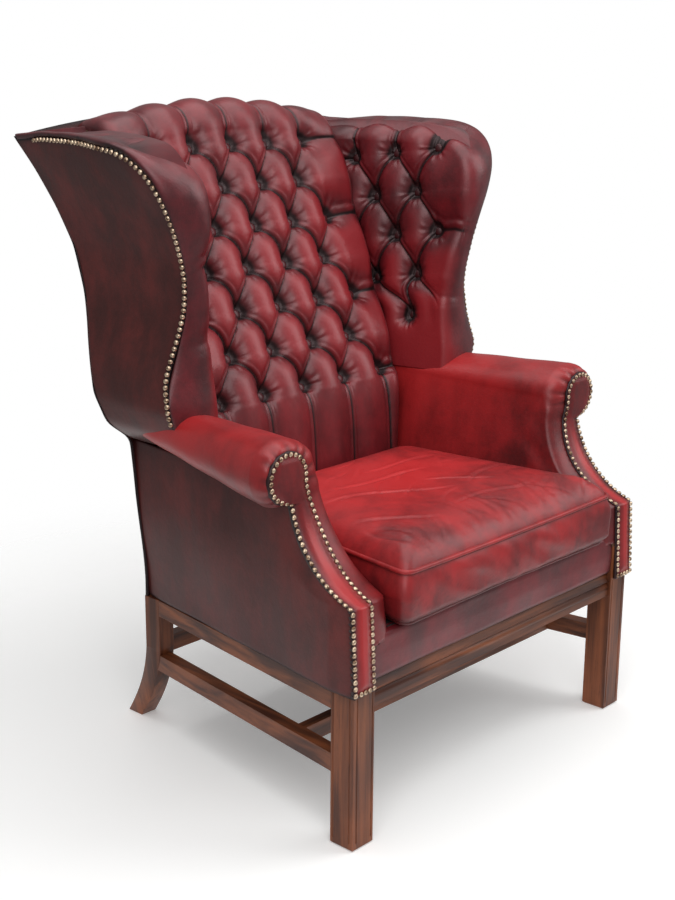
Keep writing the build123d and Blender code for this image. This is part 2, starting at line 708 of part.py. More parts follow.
# Outside back: one leather panel that also closes the wings from behind
with BuildPart() as outside_back:
    with BuildSketch(Plane.YZ.offset(-FRONT_WIDTH)):
        with BuildLine():
            outer = back_line(0)
            inner = back_line(LEATHER)
            top_z = BACK_TOP + CREST_RISE
            outer_top = (back_y(top_z), top_z)
            inner_top = (back_y(top_z, LEATHER), top_z)
            ThreePointArc(outer[0], outer[1], outer_top)
            Line(outer_top, inner_top)
            ThreePointArc(inner_top, inner[1], inner[0])
            Line(inner[0], outer[0])
        make_face()
    extrude(amount=2 * FRONT_WIDTH)
    with BuildSketch(Plane.XZ):
        with BuildLine():
            edge = [(FLARE_X + FLARE_OUT * row[2], FLARE_Z + FLARE_HEIGHT * row[1]) for row in FLARE_SHARES]
            corner = edge[-1]
            top_middle = (0, BACK_TOP + CREST_RISE)
            hip = REAR_WIDTH / 2
            Polyline((0, LEATHER_BOTTOM), (hip, LEATHER_BOTTOM), (hip, edge[0][1]), edge[0])
            arcs(edge)
            half_arch = between(top_middle, corner, (0.5, 0.25))
            ThreePointArc(corner, half_arch, top_middle)
            Line(top_middle, (0, LEATHER_BOTTOM))
        make_face()
        mirror(about=Plane.YZ)
    extrude(amount=FRONT_WIDTH, both=True, mode=Mode.INTERSECT)
save(outside_back, "outside_back")

# Wing frames: a board on the arm rail, with an open window behind its upright
SECTION_Y = FRONT_Y + WING_SECTION
flare_front = [(FLARE_X + FLARE_OUT * row[0], FLARE_Z + FLARE_HEIGHT * row[1]) for row in FLARE_SHARES]
neck = flare_front[6]
with BuildPart() as wing_frame_right:
    toe = radians(FRAME_TOE)
    board = Plane((neck[0], SECTION_Y, 0), x_dir=(cos(toe), sin(toe), 0), z_dir=(sin(toe), -cos(toe), 0))
    with BuildSketch(board):
        with BuildLine():
            outer = [(x - neck[0] - LEATHER - COVER_CLEAR, z) for x, z in flare_front[6:]]
            inner = [(x - FRAME_THICK, z) for x, z in outer]
            foot_x = 0
            foot_z = ARM_RAIL_Z + ARM_RAIL_HEIGHT
            Polyline(inner[0], (foot_x - FRAME_THICK, foot_z), (foot_x, foot_z), outer[0])
            arcs(outer)
            Line(outer[-1], inner[-1])
            arcs(inner[::-1])
        make_face()
    extrude(amount=-WING_SIDE_DEPTH)
    with BuildSketch(Plane.YZ):
        frame_front = FRONT_Y + FRAME_FRONT
        frame_rear = back_y(FRAME_TOP - FRAME_RAIL, LEATHER)
        with Locations((frame_front, foot_z)):
            Rectangle(frame_rear - frame_front, FRAME_TOP - foot_z, align=Align.MIN)
        with Locations((frame_front + FRAME_UPRIGHT, foot_z)):
            window_height = FRAME_TOP - FRAME_RAIL - foot_z
            Rectangle(frame_rear - frame_front, window_height, align=Align.MIN, mode=Mode.SUBTRACT)
    extrude(amount=2 * FRONT_WIDTH, mode=Mode.INTERSECT)
    fillet(wing_frame_right.edges().filter_by(Axis.X, tolerance=10).sort_by(Axis.Z)[-1:], radius=LEATHER)
    add(crest_rail.part, mode=Mode.SUBTRACT)
save_pair(wing_frame_right, "wing_frame")

# Outer wing panels: ruled between a front flare and a gentler one at the outside back
PANEL_START = 330.0
PANEL_END = 800.0


def flare(y, inset):
    """The wing's outer surface as points in front view at depth y, moved inwards by an inset."""
    points = []
    for front_share, up_share, back_share in FLARE_SHARES:
        z = FLARE_Z + FLARE_HEIGHT * up_share
        reach = (y - SECTION_Y) / (back_y(z) - SECTION_Y)
        points.append((FLARE_X + FLARE_OUT * mix(front_share, back_share, reach) - inset, z))
    return points


with BuildPart() as wing_panel_right:
    for depth in (PANEL_START, PANEL_END):
        with BuildSketch(Plane.XZ.offset(-(FRONT_Y + depth))):
            with BuildLine():
                outer = flare(FRONT_Y + depth, 0)
                inner = flare(FRONT_Y + depth, LEATHER)
                arcs(outer)
                Line(outer[-1], inner[-1])
                arcs(inner[::-1])
                Line(inner[0], outer[0])
            make_face()
    loft(ruled=True)
    with BuildSketch(Plane.YZ):
        with BuildLine():
            side = [
                (FRONT_Y + WING_SIDE_Y + WING_SIDE_DEPTH * along, FLARE_Z + FLARE_HEIGHT * up)
                for along, up in WING_SIDE_SHARES
            ]
            arcs(side)
            rear_low = (back_y(FLARE_Z, LEATHER), FLARE_Z)
            rear_middle = (back_y(neck[1], LEATHER), neck[1])
            rear_high = (back_y(side[-1][1], LEATHER), side[-1][1])
            Line(side[-1], rear_high)
            ThreePointArc(rear_high, rear_middle, rear_low)
            Line(rear_low, side[0])
        make_face()
    extrude(amount=2 * FRONT_WIDTH, mode=Mode.INTERSECT)
    add(outside_back.part, mode=Mode.SUBTRACT)
save_pair(wing_panel_right, "wing_outer_panel")

# Back pad: stations across an arched crest, cut to a tapered outline, then buttoned
CREST_FRONT_Z = 1075.0
CREST_PEAK_Y = 712.0
STATION_SHARES = (-1, -0.68, -0.35, 0, 0.35, 0.68, 1)
crown_radius = (PAD_HIGH_HALF**2 + CROWN_DROP**2) / (2 * CROWN_DROP)


def crown_drop(x):
    """How far the crest pad's arch has fallen at x."""
    return crown_radius - (crown_radius**2 - x**2) ** 0.5


with BuildPart() as back_raw:
    for share in STATION_SHARES:
        x = PAD_HIGH_HALF * share
        drop = crown_drop(x)
        top_z = BACK_TOP + CREST_RISE - x**2 / (2 * crest_radius)
        with BuildSketch(Plane.YZ.offset(x)):
            with BuildLine():
                low_y = FRONT_Y + FACE_Y - COVER_INSET
                face_low = (FRONT_Y + FACE_Y, FACE_Z)
                front_z = CREST_FRONT_Z - drop
                face_high = (face_low[0] + FACE_LEAN_SHARE * (front_z - FACE_Z), front_z)
                peak = (FRONT_Y + CREST_PEAK_Y - FACE_LEAN_SHARE * drop, PAD_TOP - drop)
                rear_top = (back_y(top_z), top_z)
                inside_z = CREST_BOTTOM + BACK_STRAP_LAP
                inside_crest = (back_y(inside_z, LEATHER + CREST_THICK / 2), inside_z)
                Polyline((low_y, PAD_BOTTOM), (low_y, PAD_BREAK), face_low, face_high)
                ThreePointArc(face_high, peak, rear_top)
                Polyline(
                    rear_top,
                    (back_y(top_z, LEATHER), top_z),
                    inside_crest,
                    (crest_front - STRAP_THICK, CREST_BOTTOM),
                    (stay_front - STRAP_THICK, STAY_Z + STAY_HEIGHT),
                    (stay_front - STRAP_THICK, PAD_BOTTOM),
                    (low_y, PAD_BOTTOM),
                )
            make_face()
    loft(ruled=True)
    with BuildSketch(Plane.XZ):
        with BuildLine():
            Polyline(
                (-PAD_LOW_HALF, PAD_BOTTOM),
                (PAD_LOW_HALF, PAD_BOTTOM),
                (PAD_HIGH_HALF, CREST_BOTTOM),
                (PAD_HIGH_HALF, PAD_TOP),
                (-PAD_HIGH_HALF, PAD_TOP),
                (-PAD_HIGH_HALF, CREST_BOTTOM),
                close=True,
            )
        make_face()
    extrude(amount=2 * FRONT_SETBACK, both=True, mode=Mode.INTERSECT)
    add(crest_rail.part, mode=Mode.SUBTRACT)
    add(outside_back.part, mode=Mode.SUBTRACT)
    add(rear_post_right.part, mode=Mode.SUBTRACT)
    add(mirror(rear_post_right.part, about=Plane.YZ), mode=Mode.SUBTRACT)
    add(back_webbing.part, mode=Mode.SUBTRACT)
with BuildPart() as back_block:
    add(back_raw.part.solids().sort_by(SortBy.VOLUME)[-1])


# Section of one pillow, in flat facets: along it and down, as shares of its width and height
PILLOW_SHARES = ((0, 1), (0.13, 0.45), (0.31, 0.1), (0.5, 0), (0.69, 0.1), (0.87, 0.45))


def pillows(face, angle, pitch, count, rise, phase):
    """A slab under a row of faceted ridges, its crests on a face and its ridges at an angle."""
    turn = radians(angle)
    along = face.x_dir * cos(turn) + face.y_dir * sin(turn)
    across = face.y_dir * cos(turn) - face.x_dir * sin(turn)
    with BuildPart(mode=Mode.PRIVATE) as slab:
        with BuildSketch(Plane(face.origin, x_dir=across, z_dir=along)):
            with BuildLine():
                first = phase - count * pitch / 2
                last = first + count * pitch
                Polyline(
                    (first, -FRONT_WIDTH),
                    *(
                        (first + pitch * (ridge + along), -rise * fall)
                        for ridge in range(count)
                        for along, fall in PILLOW_SHARES
                    ),
                    (last, -rise),
                    (last, -FRONT_WIDTH),
                    close=True,
                )
            make_face()
        extrude(amount=FRONT_WIDTH, both=True)
    return slab.part


def slice_of(face, low, high):
    """Everything between two heights along a face."""
    with BuildPart(mode=Mode.PRIVATE) as slab:
        with BuildSketch(face):
            with Locations((0, low)):
                Rectangle(2 * FRONT_WIDTH, high - low, align=(Align.CENTER, Align.MIN))
        extrude(amount=FRONT_WIDTH, both=True)
    return slab.part


# The buttoned face: diamonds between two families of creases, with a pit at every button,
# and upright creases from the end rows over the crest and down behind the cushion
PIT_TAPER = 30.0  # degrees
CREASE_WIDTH = 40.0
CREST_TURN = 118.0  # degrees round the crest
BACK_CREASES = 11
face_angle = atan(FACE_LEAN_SHARE)
face_middle = (0, FRONT_Y + MIDDLE_Y, MIDDLE_Z)
back_face = Plane(face_middle, x_dir=(1, 0, 0), z_dir=(0, -cos(face_angle), sin(face_angle)))
diagonal = degrees(atan(BUTTON_ROW / (BUTTON_PITCH / 2)))
crease_pitch = BUTTON_PITCH * sin(radians(diagonal))
back_spots = [
    (BUTTON_PITCH * (column - (BACK_COLUMNS - 1 - row % 2) / 2), BUTTON_ROW * (row - (BACK_ROWS - 1) / 2))
    for row in range(BACK_ROWS)
    for column in range(BACK_COLUMNS - row % 2)
]
half_rows = BUTTON_ROW * (BACK_ROWS - 1) / 2
pit_top = BUTTON_RADIUS + COVER_CLEAR / 2 + TUFT_DEPTH * tan(radians(PIT_TAPER))
with BuildPart() as back_cut:
    add(slice_of(back_face, -half_rows, half_rows))
    for turn in (diagonal, -diagonal):
        add(pillows(back_face, turn, crease_pitch, BACK_CREASES, TUFT_RISE, 0), mode=Mode.INTERSECT)
    add(slice_of(back_face, -FRONT_WIDTH, -half_rows))
with BuildPart() as crest_cut:
    add(pillows(back_face, 90, BUTTON_PITCH, BACK_COLUMNS + 1, TUFT_RISE, 0))
    add(slice_of(back_face, half_rows, FRONT_WIDTH), mode=Mode.INTERSECT)
with BuildPart() as back_pad:
    add(back_block.part)
    with BuildPart(mode=Mode.INTERSECT):
        add(back_cut.part)
        add(crest_cut.part)
    with BuildSketch(back_face):
        with Locations(*back_spots):
            RegularPolygon(pit_top, BUTTON_SIDES, major_radius=False)
    extrude(amount=-TUFT_DEPTH, taper=PIT_TAPER, mode=Mode.SUBTRACT)
    for column in range(BACK_COLUMNS):
        crease_x = BUTTON_PITCH * (column - (BACK_COLUMNS - 1) / 2)
        drop = crown_drop(crease_x)
        with BuildSketch(Plane.XY.offset(PAD_BOTTOM)):
            with BuildLine():
                Polyline(
                    (crease_x - CREASE_WIDTH / 2, low_y),
                    (crease_x + CREASE_WIDTH / 2, low_y),
                    (crease_x, low_y + TUFT_RISE),
                    close=True,
                )
            make_face()
        extrude(amount=FACE_Z - PAD_BOTTOM, mode=Mode.SUBTRACT)
        front_z = CREST_FRONT_Z - drop
        face_high = (FRONT_Y + FACE_Y + FACE_LEAN_SHARE * (front_z - FACE_Z), front_z)
        peak = (FRONT_Y + CREST_PEAK_Y - FACE_LEAN_SHARE * drop, PAD_TOP - drop)
        top_z = BACK_TOP + CREST_RISE - crease_x**2 / (2 * crest_radius)
        over = Edge.make_three_point_arc(face_high, peak, (back_y(top_z), top_z))
        centre = (crease_x, over.arc_center.X, over.arc_center.Y)
        spoke = Vector(0, face_high[0] - centre[1], face_high[1] - centre[2]).normalized()
        with BuildSketch(Plane(centre, x_dir=(1, 0, 0), z_dir=(0, -spoke.Z, spoke.Y))):
            with BuildLine():
                Polyline(
                    (-CREASE_WIDTH / 2, over.radius + COVER_CLEAR),
                    (CREASE_WIDTH / 2, over.radius + COVER_CLEAR),
                    (0, over.radius - TUFT_RISE),
                    close=True,
                )
            make_face()
        revolve(axis=Axis(centre, (-1, 0, 0)), revolution_arc=CREST_TURN, mode=Mode.SUBTRACT)
with BuildPart() as back_whole:
    add(back_pad.part.solids().sort_by(SortBy.VOLUME)[-1])
save(back_whole, "back_pad")

with BuildPart() as back_buttons:
    with BuildSketch(back_face.offset(-TUFT_DEPTH)):
        with Locations(*back_spots):
            RegularPolygon(BUTTON_RADIUS, BUTTON_SIDES, major_radius=False)
    extrude(amount=BUTTON_THICK, taper=PIT_TAPER)
save(back_buttons, "back_buttons")

# Arm pads: the inside of the arm and its roll, in one cover that narrows to the rear
with BuildPart() as arm_pad_right:
    for share in (0, 1):
        depth = FRONT_Y + ARM_LENGTH * share
        with BuildSketch(Plane.XZ.offset(-depth)):
            with BuildLine():
                centre = (mix(ROLL_FRONT_X, ROLL_REAR_X, share), mix(ROLL_FRONT_Z, ROLL_REAR_Z, share))
                radius = mix(ROLL_FRONT_RADIUS, ROLL_REAR_RADIUS, share)
                low_in = (mix(ARM_INSIDE_FRONT, ARM_INSIDE_REAR, share), RAIL_TOP)
                high_in = (mix(ARM_TOP_FRONT, ARM_TOP_REAR, share), centre[1])
                belly = ((low_in[0] + high_in[0]) / 2 - ARM_BOW, (low_in[1] + high_in[1]) / 2)
                top = (centre[0], centre[1] + radius)
                under = (centre[0] + radius * ROLL_SHARES[1][1], centre[1] - radius * ROLL_SHARES[1][0])
                tuck = (lining_x(depth), mix(TUCK_FRONT, TUCK_REAR, share))
                ThreePointArc(low_in, belly, high_in)
                ThreePointArc(high_in, between(high_in, top, ROLL_SHARES[0]), top)
                ThreePointArc(top, (centre[0] + radius, centre[1]), under)
                Polyline(under, tuck, (tuck[0], RAIL_TOP), low_in)
            make_face()
    loft(ruled=True)
    with BuildSketch(Plane.YZ):
        with BuildLine():
            front = facing_curve(COVER_CLEAR)
            Polyline((FRONT_Y + ARM_LENGTH, RAIL_TOP), (front[0][0], RAIL_TOP), front[0])
            arcs(front[:3])
            arm_end = FRONT_Y + ARM_LENGTH
            Polyline(front[2], front[3], (arm_end, front[3][1]), (arm_end, RAIL_TOP))
        make_face()
    extrude(amount=2 * FRONT_WIDTH, mode=Mode.INTERSECT)
    for neighbour in (
        arm_facing_right,
        arm_stump_right,
        arm_rail_right,
        side_panel_right,
        wing_panel_right,
        rear_post_right,
        wing_frame_right,
        stay_rail,
        front_border,
        back_block,
    ):
        add(neighbour.part, mode=Mode.SUBTRACT)
with BuildPart() as arm_whole_right:
    add(arm_pad_right.part.solids().sort_by(SortBy.VOLUME)[-1])
save_pair(arm_whole_right, "arm_pad")

# Wing pads: an inner face that splays and leans out, buttoned like the back
splay = radians(WING_SPLAY)
lean = radians(WING_TILT)
wing_normal = Vector(-cos(splay) * cos(lean), -sin(splay) * cos(lean), sin(lean))
wing_forward = Vector(sin(splay), -cos(splay), 0)
wing_face = Plane(
    (WING_IN, FRONT_Y + WING_MIDDLE_Y, WING_MIDDLE_Z),
    x_dir=wing_forward,
    z_dir=wing_normal,
)
row_turn = radians(WING_ROW_TILT)
column_step = (WING_PITCH * cos(row_turn), WING_PITCH * sin(row_turn))


def wing_spot(column, row):
    """Where a button sits in the wing's inner face."""
    return (
        WING_OFFSET + column * column_step[0] + row * WING_LEAN,
        column * column_step[1] + row * WING_ROW,
    )


wing_spots = [wing_spot(*cell) for cell in WING_BUTTON_SHARES]
wing_pit_top = BUTTON_RADIUS + COVER_CLEAR / 2 + WING_DEPTH * tan(radians(PIT_TAPER))
with BuildPart() as wing_room:
    for depth in (PANEL_START, PANEL_END):
        with BuildSketch(Plane.XZ.offset(-(FRONT_Y + depth))):
            with BuildLine():
                inner = flare(FRONT_Y + depth, LEATHER)
                arcs(inner)
                Polyline(inner[-1], (0, inner[-1][1] + OVERRUN), (0, inner[0][1]), inner[0])
            make_face()
    loft(ruled=True)
    with BuildSketch(Plane.YZ):
        with BuildLine():
            low, middle, high = back_line(LEATHER)
            high = (back_y(PAD_TOP, LEATHER), PAD_TOP)
            ThreePointArc(low, middle, high)
            Polyline(high, (FRONT_Y, PAD_TOP), (FRONT_Y, low[1]), low)
        make_face()
    extrude(amount=2 * FRONT_WIDTH, mode=Mode.INTERSECT)
with BuildPart() as wing_pad_right:
    with BuildSketch(wing_face.offset(-WING_EDGE_RADIUS)) as wing_outline:
        with BuildLine():
            edge = [(WING_FRONT * along, WING_TOP * up) for along, up in WING_EDGE_SHARES]
            arcs(edge)
            foot = (edge[0][0], -WING_BOTTOM)
            Polyline(edge[-1], (-WING_REAR, WING_TOP), (-WING_REAR, -WING_BOTTOM), foot, edge[0])
        make_face()
    extrude(amount=-WING_REAR)
    extrude(wing_outline.sketch, amount=WING_EDGE_RADIUS / 2, taper=WING_EDGE_TURN)
    inner_face = wing_pad_right.faces().filter_by(lambda face: face.normal_at().dot(wing_normal) > 0.999)[0]
    extrude(inner_face, amount=WING_EDGE_RADIUS / 2, taper=90 - 2 * WING_EDGE_TURN)
    add(wing_room.part, mode=Mode.INTERSECT)
    for turn in (wing_spot(0.5, 1), wing_spot(-0.5, 1)):
        step = (turn[0] - WING_OFFSET, turn[1])
        angle = degrees(atan2(step[1], step[0]))
        gap = abs(column_step[0] * step[1] - column_step[1] * step[0]) / hypot(*step)
        shift = -WING_OFFSET * sin(radians(angle))
        add(pillows(wing_face, angle, gap, BACK_CREASES + 1, WING_RISE, shift), mode=Mode.INTERSECT)
    with BuildSketch(wing_face):
        with Locations(*wing_spots):
            RegularPolygon(wing_pit_top, BUTTON_SIDES, major_radius=False)
    extrude(amount=-WING_DEPTH, taper=PIT_TAPER, mode=Mode.SUBTRACT)
    for neighbour in (
        rear_post_right,
        crest_rail,
        wing_frame_right,
        arm_whole_right,
        arm_rail_right,
        back_block,
        outside_back,
        side_panel_right,
        wing_panel_right,
    ):
        add(neighbour.part, mode=Mode.SUBTRACT)
with BuildPart() as wing_whole_right:
    add(wing_pad_right.part.solids().sort_by(SortBy.VOLUME)[-1])
save_pair(wing_whole_right, "wing_pad")

with BuildPart() as wing_buttons_right:
    with BuildSketch(wing_face.offset(-WING_DEPTH)):
        with Locations(*wing_spots):
            RegularPolygon(BUTTON_RADIUS, BUTTON_SIDES, major_radius=False)
    extrude(amount=BUTTON_THICK, taper=PIT_TAPER)
save_pair(wing_buttons_right, "wing_buttons")

# Seat cushion: loose, with a crown above and below its seams and piping on both
CUSHION_FRONT = 21.0  # ahead of the front legs' front faces
CUSHION_REAR = 428.0
CUSHION_FRONT_HALF = 288.0
CUSHION_REAR_HALF = 238.0
CUSHION_CORNER = 34.0
CUSHION_SEAM = 92.0
LOW_SEAM = 8.0
SEAM_DRAW = 5.0
PIPING = 4.5
PIPING_SIDES = 10
CROWN_HEIGHTS = (16.0, 33.0, 43.0, 47.0)
CROWN_INSETS = (9.0, 38.0, 90.0, 150.0)


def cushion_corners(inset):
    """The corners of the cushion's plan, drawn in by an inset."""
    front = FRONT_Y - CUSHION_FRONT + inset
    rear = FRONT_Y + CUSHION_REAR - inset
    front_half = CUSHION_FRONT_HALF - inset
    rear_half = CUSHION_REAR_HALF - inset
    return [(-front_half, front), (front_half, front), (rear_half, rear), (-rear_half, rear)]


cushion_bottom = DECK_TOP + CUSHION_GAP
top_seam = cushion_bottom + CUSHION_SEAM
low_seam = cushion_bottom + LOW_SEAM
boxing = (
    (cushion_bottom, SEAM_DRAW + LOW_SEAM),
    (low_seam, SEAM_DRAW),
    (mix(low_seam, top_seam, 0.5), 0),
    (top_seam, SEAM_DRAW),
)
crown = ((top_seam, SEAM_DRAW), *((top_seam + up, inset) for up, inset in zip(CROWN_HEIGHTS, CROWN_INSETS)))
with BuildPart() as cushion_body:
    for rings in (boxing, crown):
        for height, inset in rings:
            with BuildSketch(Plane.XY.offset(height)) as ring:
                with BuildLine():
                    Polyline(*cushion_corners(inset), close=True)
                make_face()
                fillet(ring.vertices(), radius=CUSHION_CORNER)
        loft(ruled=True)
with BuildPart() as piping_ring:
    with BuildSketch(mode=Mode.PRIVATE) as ring:
        with BuildLine():
            Polyline(*cushion_corners(SEAM_DRAW), close=True)
        make_face()
        fillet(ring.vertices(), radius=CUSHION_CORNER)
    seam = ring.face().outer_wire()
    with BuildSketch(Plane(seam @ 0, z_dir=seam % 0)):
        RegularPolygon(PIPING, PIPING_SIDES)
    sweep(path=seam, transition=Transition.ROUND)
with BuildPart() as cushion_piping:
    with Locations((0, 0, low_seam), (0, 0, top_seam)):
        add(piping_ring.part)
save(cushion_piping, "cushion_piping")
with BuildPart() as seat_cushion:
    add(cushion_body.part)
    add(cushion_piping.part, mode=Mode.SUBTRACT)
save(seat_cushion, "seat_cushion")
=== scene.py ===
# %% [markdown]
# # A wing chair in buttoned leather
#
# This lesson dresses the plain solids of a wing chair. Its legs, rails and inner boards keep
# their solids and get a finish, and so do the webbing and cloth inside it. Every leather
# piece is built again as a dense mesh, because buttoned leather is all folds and no solid
# shows them well.

# %% Load the solids
import json

import bmesh
import bpy
import numpy as np
from mathutils import Matrix, Vector


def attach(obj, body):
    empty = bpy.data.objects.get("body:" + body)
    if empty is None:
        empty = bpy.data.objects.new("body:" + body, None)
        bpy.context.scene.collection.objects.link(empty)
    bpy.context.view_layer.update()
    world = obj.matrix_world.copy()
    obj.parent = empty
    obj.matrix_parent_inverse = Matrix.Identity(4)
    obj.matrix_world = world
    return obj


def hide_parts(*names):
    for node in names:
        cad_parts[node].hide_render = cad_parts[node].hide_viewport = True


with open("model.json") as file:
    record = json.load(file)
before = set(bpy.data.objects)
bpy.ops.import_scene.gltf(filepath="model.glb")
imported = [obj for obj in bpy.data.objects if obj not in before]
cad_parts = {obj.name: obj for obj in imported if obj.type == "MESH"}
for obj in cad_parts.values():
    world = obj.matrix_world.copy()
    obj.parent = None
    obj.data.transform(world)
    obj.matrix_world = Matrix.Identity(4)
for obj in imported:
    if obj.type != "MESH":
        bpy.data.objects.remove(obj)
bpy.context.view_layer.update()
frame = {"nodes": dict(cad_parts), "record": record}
MM = 0.001

# %% [markdown]
# ## Camera, floor and light
#
# The camera stands where the photographer stood, in front and to the left. Its place and
# lens were worked out from the edges of the legs and rails. Large soft lamps give leather its
# broad sheen. The floor fades out with distance, so that the backdrop stays white.

# %% Camera
EYE = Vector((-1941.1, -1763.4, 1233.5)) * MM
RIGHT = Vector((0.67714, -0.73581, 0.0076))
UP = Vector((0.19056, 0.18532, 0.96403))
FOCAL_LENGTH, SENSOR = 59.44, 36
lens = bpy.data.cameras.new("camera")
lens.lens, lens.sensor_width = FOCAL_LENGTH, SENSOR
camera = bpy.data.objects.new("camera", lens)
turned = Matrix((RIGHT, UP, RIGHT.cross(UP))).transposed().to_4x4()
camera.matrix_world = Matrix.Translation(EYE) @ turned
bpy.context.scene.collection.objects.link(camera)
bpy.context.scene.camera = camera
bpy.context.scene.view_settings.view_transform = "Standard"
print("camera at", [round(v, 2) for v in EYE], "m, lens", FOCAL_LENGTH, "mm")


# %% Lamps
def lamp(name, place, size, power, target=(0, 0, 0.6)):
    """A square soft lamp that faces the seat."""
    light = bpy.data.lights.new(name, "AREA")
    light.size, light.energy = size, power
    made = bpy.data.objects.new(name, light)
    made.location = place
    made.rotation_euler = (Vector(target) - Vector(place)).to_track_quat("-Z", "Y").to_euler()
    bpy.context.scene.collection.objects.link(made)


lamp("window", (-2.6, -2.3, 2.9), 2.8, 66)
lamp("overhead", (0.0, -0.2, 3.2), 3.2, 58)
lamp("fill", (2.4, -2.2, 2.5), 2.4, 44)
print("lamps:", len(bpy.data.lights))


# %% [markdown]
# ## Writing a finish as sums
#
# A material is a tree of nodes, but most of what it says is arithmetic. The small class below
# holds one socket and lets Python's operators add the nodes that they stand for, so that a
# finish reads like a formula.


# %% A socket that can be reckoned with
class Link:
    """One socket of a material. Its operators add the nodes that they stand for."""

    def __init__(self, owner, socket=None):
        self.owner, self.socket = owner, socket

    def node(self, kind, settings=None, inputs=None, output=0):
        """Add a node: its settings first, then the values or links of its sockets."""
        tree = self.owner.node_tree
        made = tree.nodes.new("ShaderNode" + kind)
        for key, value in (settings or {}).items():
            setattr(made, key, value)
        for key, value in (inputs or {}).items():
            if isinstance(value, Link):
                tree.links.new(value.socket, made.inputs[key])
            else:
                made.inputs[key].default_value = value
        return Link(self.owner, made.outputs[output]) if made.outputs else self

    def noise(self, scale, detail, **more):
        """Cloudy noise at this place, finer with a larger scale."""
        return self.node("TexNoise", None, {"Vector": self, "Scale": scale, "Detail": detail, **more})

    def sum(self, operation, *values):
        kind = "VectorMath" if self.socket.type == "VECTOR" else "Math"
        return self.node(kind, {"operation": operation}, dict(enumerate(values)))

    def __add__(self, other):
        return self.sum("ADD", self, other)

    def __sub__(self, other):
        return self.sum("SUBTRACT", self, other)

    def __rsub__(self, other):
        return self.sum("SUBTRACT", other, self)

    def __mul__(self, other):
        return self.sum("MULTIPLY", self, other)

    __radd__, __rmul__ = __add__, __mul__

    def held(self, low, high):
        """The value run from 0 at low to 1 at high, and held there."""
        return self.node("MapRange", {"interpolation_type": "SMOOTHSTEP"}, {0: self, 1: low, 2: high})

    def mix(self, under, over):
        """One colour over another, where the value is the share of the upper one."""
        return self.node("Mix", {"data_type": "RGBA"}, {0: self, 6: under, 7: over}, 2)

    def close(self, kind="OutputMaterial"):
        """Send this surface to the output, and give back what it belongs to."""
        return self.node(kind, None, {"Surface": self}).owner


def start(name):
    """The place on the object, in a new material that nodes can be added to."""
    material = bpy.data.materials.new(name)
    material.use_nodes = True
    material.node_tree.nodes.clear()
    return Link(material).node("TexCoord", output="Object")


def tone(red, green, blue):
    """A colour as it looks on screen, from 0 to 255, as the light values a shader takes."""
    screen = np.array((red, green, blue)) / 255
    light = np.where(screen < 0.0404, screen / 12.92, ((screen + 0.055) / 1.055) ** 2.4)
    return (*light.tolist(), 1)


# %% [markdown]
# ## Leather
#
# Old oxblood leather is a bright red hide under a nearly black glaze. Hands and clothes rub
# the glaze off what stands proud. Each leather mesh carries two numbers at each point: one for
# how much painted shade it gets, near black in folds, pits and the hollows beside nails and
# edges, and `worn` for how much it is rubbed. Noise breaks both up, and fine cells make the
# grain.

# %% Leather
# Painted shade: the near-black colour that folds, pits and hidden edges are mixed towards.
SHADE_COLOUR = tone(9, 3, 4)
PINK_SHEEN = (1.0, 0.74, 0.76, 1.0)


def leather(name, glaze, hide, rubbed, gloss, patch, shine):
    """Glazed hide, rubbed through where the mesh says so, with painted shade in its folds and hollows."""
    place = start(name)
    crease = place.node("Attribute", {"attribute_name": "crease"}, output="Fac")
    worn = place.node("Attribute", {"attribute_name": "worn"}, output="Fac")
    cloud = place.noise(8.0, 8.0, Roughness=0.68)
    smear = (place * (1, 1, 0.35)).noise(26.0, 4.0)
    speck = place.noise(160.0, 3.0, Roughness=0.7)
    broken = cloud * 0.65 + smear * 0.35
    wear = (worn + (broken - 0.5) * 1.3 * patch).held(0.15, 0.95)
    body = (broken + (speck - 0.5) * 0.12).held(0.36, 0.66).mix(tone(*glaze), tone(*hide))
    # Painted shade: the share of near black, from the mesh's shade mark, broken up by noise.
    dark = (crease + (smear - 0.5) * 0.25 * crease).held(0.04, 0.92)
    cells = place.node("TexVoronoi", {"feature": "F1"}, {"Vector": place, "Scale": 620.0})
    fine = place.noise(210.0, 6.0, Roughness=0.65)
    folds = place.noise(34.0, 3.0, Distortion=1.2)
    height = cells * 0.22 + fine * 0.5 + folds * 0.9
    bump = place.node("Bump", None, {"Height": height, "Strength": 0.32, "Distance": 0.0016})
    sockets = {
        "Base Color": dark.mix(wear.mix(body, tone(*rubbed)), SHADE_COLOUR),
        "Roughness": gloss + (smear - 0.5) * 0.16 + crease * 0.08,
        "Normal": bump,
        "Specular IOR Level": shine,
        "Specular Tint": PINK_SHEEN,
        "Coat Weight": 0.2 - crease * 0.2,
        "Coat Roughness": 0.32,
    }
    return place.node("BsdfPrincipled", None, sockets).close()


# Each leather's glaze, hide and rubbed hide, then its gloss, patchiness and shine.
LEATHERS = {
    "tufted_leather": ((62, 15, 20), (106, 24, 32), (142, 32, 38), 0.4, 0.6, 0.68),
    "arm_leather": ((74, 18, 20), (122, 25, 29), (172, 34, 36), 0.41, 0.7, 0.6),
    "seat_leather": ((98, 24, 27), (142, 32, 35), (190, 38, 40), 0.44, 0.95, 0.6),
    "outer_leather": ((60, 23, 20), (90, 33, 30), (124, 42, 38), 0.46, 0.8, 0.36),
}
covers = {slot: leather(slot.replace("_", " "), *look) for slot, look in LEATHERS.items()}
print("leathers:", *covers)
